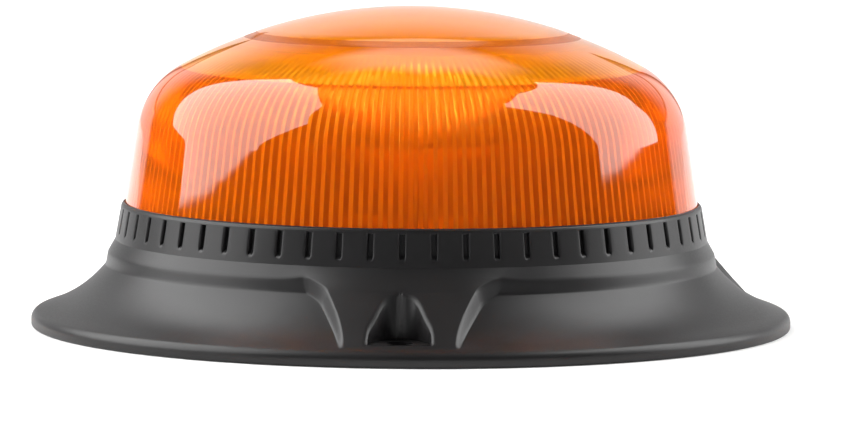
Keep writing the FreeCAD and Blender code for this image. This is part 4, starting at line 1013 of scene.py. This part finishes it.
    def _collar(self, draft: Draft) -> None:
        """Add the collar, from its foot up over its lip, with a slot every few degrees."""
        (top_r, top_z), c = self.collar_top, self.collar_corner
        lean = (self.shoulder[0] - top_r) / (top_z - self.shoulder[1])
        heights = spaced(self.shoulder[1], (
            (self.slot_foot, 4), (self.slot_foot + self.slot_run, 6), (self.slot_top - self.slot_edge, 5),
            (self.slot_top, 3), (self.slot_top + 0.25 * MM, 2),
        ))
        wall = [(self.shoulder[0] - lean * (z - self.shoulder[1]), z) for z in heights]
        over = arc((top_r - c, top_z - c), c, math.atan(lean) * 0.5, math.pi / 2, 6)
        rows = wall + over + [(self.collar_bore, top_z), (self.collar_bore, top_z - 0.6 * MM)]
        half = self.slot_width / 2
        side = half + np.array([-0.03, 0.0, 0.05, 0.16, 0.32, 0.5]) * MM
        sink = np.array([1.0, 0.5, 0.24, 0.1, 0.02, 0.0])
        across = np.concatenate([-side[::-1], [0.0], side])
        deep = np.concatenate([sink[::-1], [1.0], sink])
        pitch = 2 * math.pi / self.slots
        between = np.array([0.28, 0.5, 0.72])
        offsets = np.concatenate([across / top_r, between * pitch])
        depths = np.concatenate([deep, 0 * between])
        angles = np.concatenate([offsets + pitch * k for k in range(self.slots)])
        angles = angles + math.radians(self.front_deg)
        rings = []
        for r, z in rows:
            rise = float(smooth_step(np.array((z - self.slot_foot) / self.slot_run)))
            fall = float(smooth_step(np.array((self.slot_top - z) / self.slot_edge)))
            rings.append(draft.ring(r - self.slot_depth * rise * fall * np.tile(depths, self.slots),
                                    np.full(len(angles), z), angles))
        for a, b in zip(rings, rings[1:]):
            draft.bridge(a, b)

    def _core(self, draft: Draft) -> None:
        """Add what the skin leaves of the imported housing: cup, posts, underside and the wells' floors."""
        mesh = frame["nodes"]["base_housing"].data
        points = np.empty(len(mesh.vertices) * 3)
        mesh.vertices.foreach_get("co", points)
        points = points.reshape(-1, 3)
        merged, place = np.unique(np.round(points, 7), axis=0, return_inverse=True)
        place = place.reshape(-1)
        tree = BVHTree.FromPolygons(points.tolist(), [tuple(p.vertices) for p in mesh.polygons])
        kept = []
        for polygon in mesh.polygons:
            if not self._is_skin(tree, polygon.center, polygon.normal):
                kept.append([int(place[i]) for i in polygon.vertices])
        draft.add(merged, [face for face in kept if len(set(face)) == len(face)])

    def _is_skin(self, tree: BVHTree, centre: Vector, normal: Vector) -> bool:
        """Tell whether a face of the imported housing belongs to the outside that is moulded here.

        Args:
            tree: The housing's faces.
            centre: Middle of the face.
            normal: Its direction.

        Returns:
            True where the face looks freely outwards, above the wells' floors or on the rim.
        """
        radius = math.hypot(centre.x, centre.y)
        above = centre.z > self.well_floor + 0.01 * MM
        if radius < self.collar_bore - 0.15 * MM or not (above or radius > 76 * MM):
            return False
        outwards = Vector((centre.x / radius, centre.y / radius, 0.0))
        start = centre + normal * 0.01 * MM
        ways = [outwards + UP, outwards] if above else [outwards + UP]
        return any(tree.ray_cast(start, way.normalized())[0] is None for way in ways)


# ---- CAD nodes that keep their shape -------------------------------------------------------------
def dress_cad_nodes(paints: Paintbox) -> None:
    """Give each shown CAD node the finish of its slot.

    Args:
        paints: Where the finishes come from.
    """
    for part in frame["record"]["subparts"]:
        node = frame["nodes"][part["node"]]
        if node.hide_render:
            continue
        material = paints.slot(part["material_slot"])
        for slot in node.material_slots:
            slot.material = material
        log.info("%s: %s", part["node"], material.name)


# ---- Studio --------------------------------------------------------------------------------------
@dataclass
class Panel:
    """A soft light panel a long way off, cut to an outline, which the camera never sees itself.

    Attributes:
        name: Its name.
        outline: Its corners as bearing and elevation in degrees; bearings go from the camera's side
            towards +X. Its sides are straight in these degrees.
        level: Strength on matt surfaces.
        shine: Strength in reflections.
        through: Strength through the dome.
        soft: Share of its size over which its edge fades.
        distance: From the object.
        side_steps: Number of short stretches that each side is made of.
    """

    name: str
    outline: tuple[tuple[float, float], ...]
    level: float
    shine: float
    through: float
    soft: float = 0.004
    distance: float = 5.0
    side_steps: int = 8

    def build(self) -> bpy.types.Object:
        """Build the panel as part of the stage.

        Returns:
            The panel.
        """
        turns = [Vector((bearing, elevation, 0.0)) for bearing, elevation in self.outline]
        middle = sum(turns, Vector()) / len(turns)
        outer = []
        for here, following in zip(turns, turns[1:] + turns[:1]):
            outer += [here.lerp(following, step / self.side_steps) for step in range(self.side_steps)]
        inner = [corner.lerp(middle, self.soft) for corner in outer]
        corners = []
        for corner in inner + outer:
            side, rise = math.radians(corner.x), math.radians(corner.y)
            level = Vector((math.sin(side), -math.cos(side), 0.0)) * math.cos(rise)
            corners.append((level + UP * math.sin(rise)) * self.distance)
        count = len(outer)
        faces = [tuple(face) for face in tessellate_polygon([inner])]
        faces += [(i, (i + 1) % count, count + (i + 1) % count, count + i) for i in range(count)]
        mesh = bpy.data.meshes.new(self.name)
        mesh.from_pydata([tuple(c) for c in corners], [], faces)
        shares = mesh.attributes.new("cover", "FLOAT", "POINT")
        shares.data.foreach_set("value", [1.0] * count + [0.0] * count)
        panel = bpy.data.objects.new(self.name, mesh)
        bpy.context.scene.collection.objects.link(panel)
        material, tree = new_material(self.name)
        path = add_node(tree, "ShaderNodeLightPath").outputs
        strength = add_node(
            tree, "ShaderNodeMix", {0: path["Is Glossy Ray"], 2: self.level, 3: self.shine},
        ).outputs[0]
        strength = add_node(
            tree, "ShaderNodeMix", {0: path["Is Transmission Ray"], 2: strength, 3: self.through},
        ).outputs[0]
        cover = add_node(tree, "ShaderNodeAttribute", attribute_name="cover").outputs["Fac"]
        faded = add_node(
            tree, "ShaderNodeMapRange", {"Value": cover, "To Max": strength}, interpolation_type="SMOOTHSTEP",
        ).outputs["Result"]
        glow = add_node(tree, "ShaderNodeEmission", {"Strength": faded}).outputs["Emission"]
        add_node(tree, "ShaderNodeOutputMaterial", {"Surface": glow})
        mesh.materials.append(material)
        panel.visible_camera = False
        return panel


@dataclass
class Studio:
    """White table, soft panels at the sides and above, and the camera.

    Attributes:
        camera_distance: From the axis to the camera, level.
        camera_height: Above the table.
        camera_side_deg: How far the camera stands towards +X.
        pitch_deg: How far it looks down.
        yaw_deg: How far it looks to the right of the axis.
        roll_deg: Its tilt.
        lens_mm: Focal length on a 36 mm sensor.
        lift: Light that the table seems to give off, so that it is clean white.
    """

    camera_distance: float = 1.240
    camera_height: float = 0.1388
    camera_side_deg: float = 1.7
    pitch_deg: float = 5.31
    yaw_deg: float = 0.092
    roll_deg: float = 0.378
    lens_mm: float = 252.5
    lift: float = 0.2
    panels: tuple[Panel, ...] = (
        Panel("softbox_left", (
            (-65, 10), (-50, 40), (-65, 65), (-135, 65), (-155, 50), (-120, 12), (-105, 5),
        ), 4.8, 4.1, 13.0),
        Panel("softbox_right", (
            (85, 8), (80, 45), (70, 65), (120, 65), (155, 52), (130, 27), (125, 4),
        ), 4.8, 4.0, 13.0),
        Panel("edge_light_left", (
            (-135, -3), (-170, -3), (-170, 15), (-140, 10),
        ), 0.5, 0.9, 2.0, 0.3),
        Panel("edge_light_right", (
            (130, -3), (170, -3), (170, 20), (135, 10),
        ), 0.5, 1.1, 2.0, 0.3),
        Panel("top_light", (
            (160, 45), (180, 40), (200, 45), (200, 55), (180, 60), (160, 55),
        ), 0.5, 1.3, 1.0, 0.6),
        # The overhead panel goes round the zenith, so its last two corners are both there.
        Panel("overhead", (
            (-40, 50), (-30, 40), (30, 40), (45, 50), (90, 70), (180, 62), (270, 70), (320, 50),
            (320, 90), (-40, 90),
        ), 0.5, 0.08, 1.0),
    )

    def build(self) -> None:
        """Build floor, lights, surroundings and camera."""
        self._floor()
        self._surroundings()
        for panel in self.panels:
            panel.build()
        self._camera()

    def _floor(self) -> None:
        """A white table that keeps the object's shadow and is clean white elsewhere."""
        mesh = bpy.data.meshes.new("table_top")
        half = 6.0
        corners = [(-half, -half, 0), (half, -half, 0), (half, half, 0), (-half, half, 0)]
        mesh.from_pydata(corners, [], [(0, 1, 2, 3)])
        floor = bpy.data.objects.new("table_top", mesh)
        bpy.context.scene.collection.objects.link(floor)
        material, tree = new_material("table_white_laminate")
        seen = add_node(tree, "ShaderNodeLightPath").outputs["Is Camera Ray"]
        lift = add_node(tree, "ShaderNodeMath", {0: seen, 1: self.lift}, operation="MULTIPLY").outputs[0]
        glow = add_node(tree, "ShaderNodeEmission", {"Strength": lift}).outputs["Emission"]
        matt = add_node(tree, "ShaderNodeBsdfDiffuse", {"Color": linear("#EDEDED")}).outputs["BSDF"]
        both = add_node(tree, "ShaderNodeAddShader", {0: matt, 1: glow}).outputs["Shader"]
        add_node(tree, "ShaderNodeOutputMaterial", {"Surface": both})
        mesh.materials.append(material)

    def _surroundings(self) -> None:
        """A dim room with a bright wall behind; only the camera sees it as plain white."""
        world = bpy.data.worlds.new("studio")
        bpy.context.scene.world = world
        world.use_nodes = True
        tree = world.node_tree
        tree.nodes.clear()
        direction = add_node(tree, "ShaderNodeTexCoord").outputs["Generated"]
        parts = add_node(tree, "ShaderNodeSeparateXYZ", {"Vector": direction})
        mirrored = add_node(
            tree, "ShaderNodeMapRange",
            {"Value": parts.outputs["Y"], "From Min": 0.72, "From Max": 0.92, "To Min": 0.05, "To Max": 1.12},
            interpolation_type="SMOOTHSTEP",
        ).outputs["Result"]
        refracted = add_node(
            tree, "ShaderNodeMapRange",
            {"Value": parts.outputs["Y"], "From Min": -1.0, "From Max": 0.6, "To Min": 0.3, "To Max": 0.6},
        ).outputs["Result"]
        darker_above = add_node(
            tree, "ShaderNodeMath", {0: parts.outputs["Z"], 1: -0.75, 2: 1.0}, operation="MULTIPLY_ADD",
        ).outputs[0]
        refracted = add_node(
            tree, "ShaderNodeMath", {0: refracted, 1: darker_above}, operation="MULTIPLY",
        ).outputs[0]
        plain = add_node(
            tree, "ShaderNodeMath", {0: parts.outputs["Z"], 1: 0.08, 2: 0.14}, operation="MULTIPLY_ADD",
        ).outputs[0]
        path = add_node(tree, "ShaderNodeLightPath").outputs
        strength = plain
        rays = (("Is Glossy Ray", mirrored), ("Is Transmission Ray", refracted), ("Is Camera Ray", 1.0))
        for ray, value in rays:
            strength = add_node(tree, "ShaderNodeMix", {0: path[ray], 2: strength, 3: value}).outputs[0]
        background = add_node(tree, "ShaderNodeBackground", {"Strength": strength}).outputs["Background"]
        add_node(tree, "ShaderNodeOutputWorld", {"Surface": background})

    def _camera(self) -> None:
        """The camera, a long lens a little above the rim."""
        data = bpy.data.cameras.new("camera")
        data.sensor_width = 36.0
        data.lens = self.lens_mm
        data.clip_start, data.clip_end = 0.05, 50.0
        camera = bpy.data.objects.new("camera", data)
        bpy.context.scene.collection.objects.link(camera)
        side = math.radians(self.camera_side_deg)
        camera.location = (
            self.camera_distance * math.sin(side), -self.camera_distance * math.cos(side), self.camera_height,
        )
        heading = side - math.radians(self.yaw_deg)
        pitch = math.radians(self.pitch_deg)
        forward = Vector((
            -math.sin(heading) * math.cos(pitch), math.cos(heading) * math.cos(pitch), -math.sin(pitch),
        ))
        camera.rotation_mode = "QUATERNION"
        roll = Quaternion((0.0, 0.0, 1.0), math.radians(self.roll_deg))
        camera.rotation_quaternion = forward.to_track_quat("-Z", "Y") @ roll
        bpy.context.scene.camera = camera


def main() -> None:
    """Build the beacon's looks in order, then the studio."""
    logging.basicConfig(level=logging.INFO, format="%(name)s: %(message)s")
    bpy.context.scene.view_settings.view_transform = "Standard"
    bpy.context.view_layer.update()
    paints = Paintbox()
    for part in (Base(paints), Dome(paints)):
        piece = part.build()
        log.info("%s: %d faces", piece.name, len(piece.data.polygons))
    dress_cad_nodes(paints)
    Studio().build()


if __name__ == "__main__":
    main()
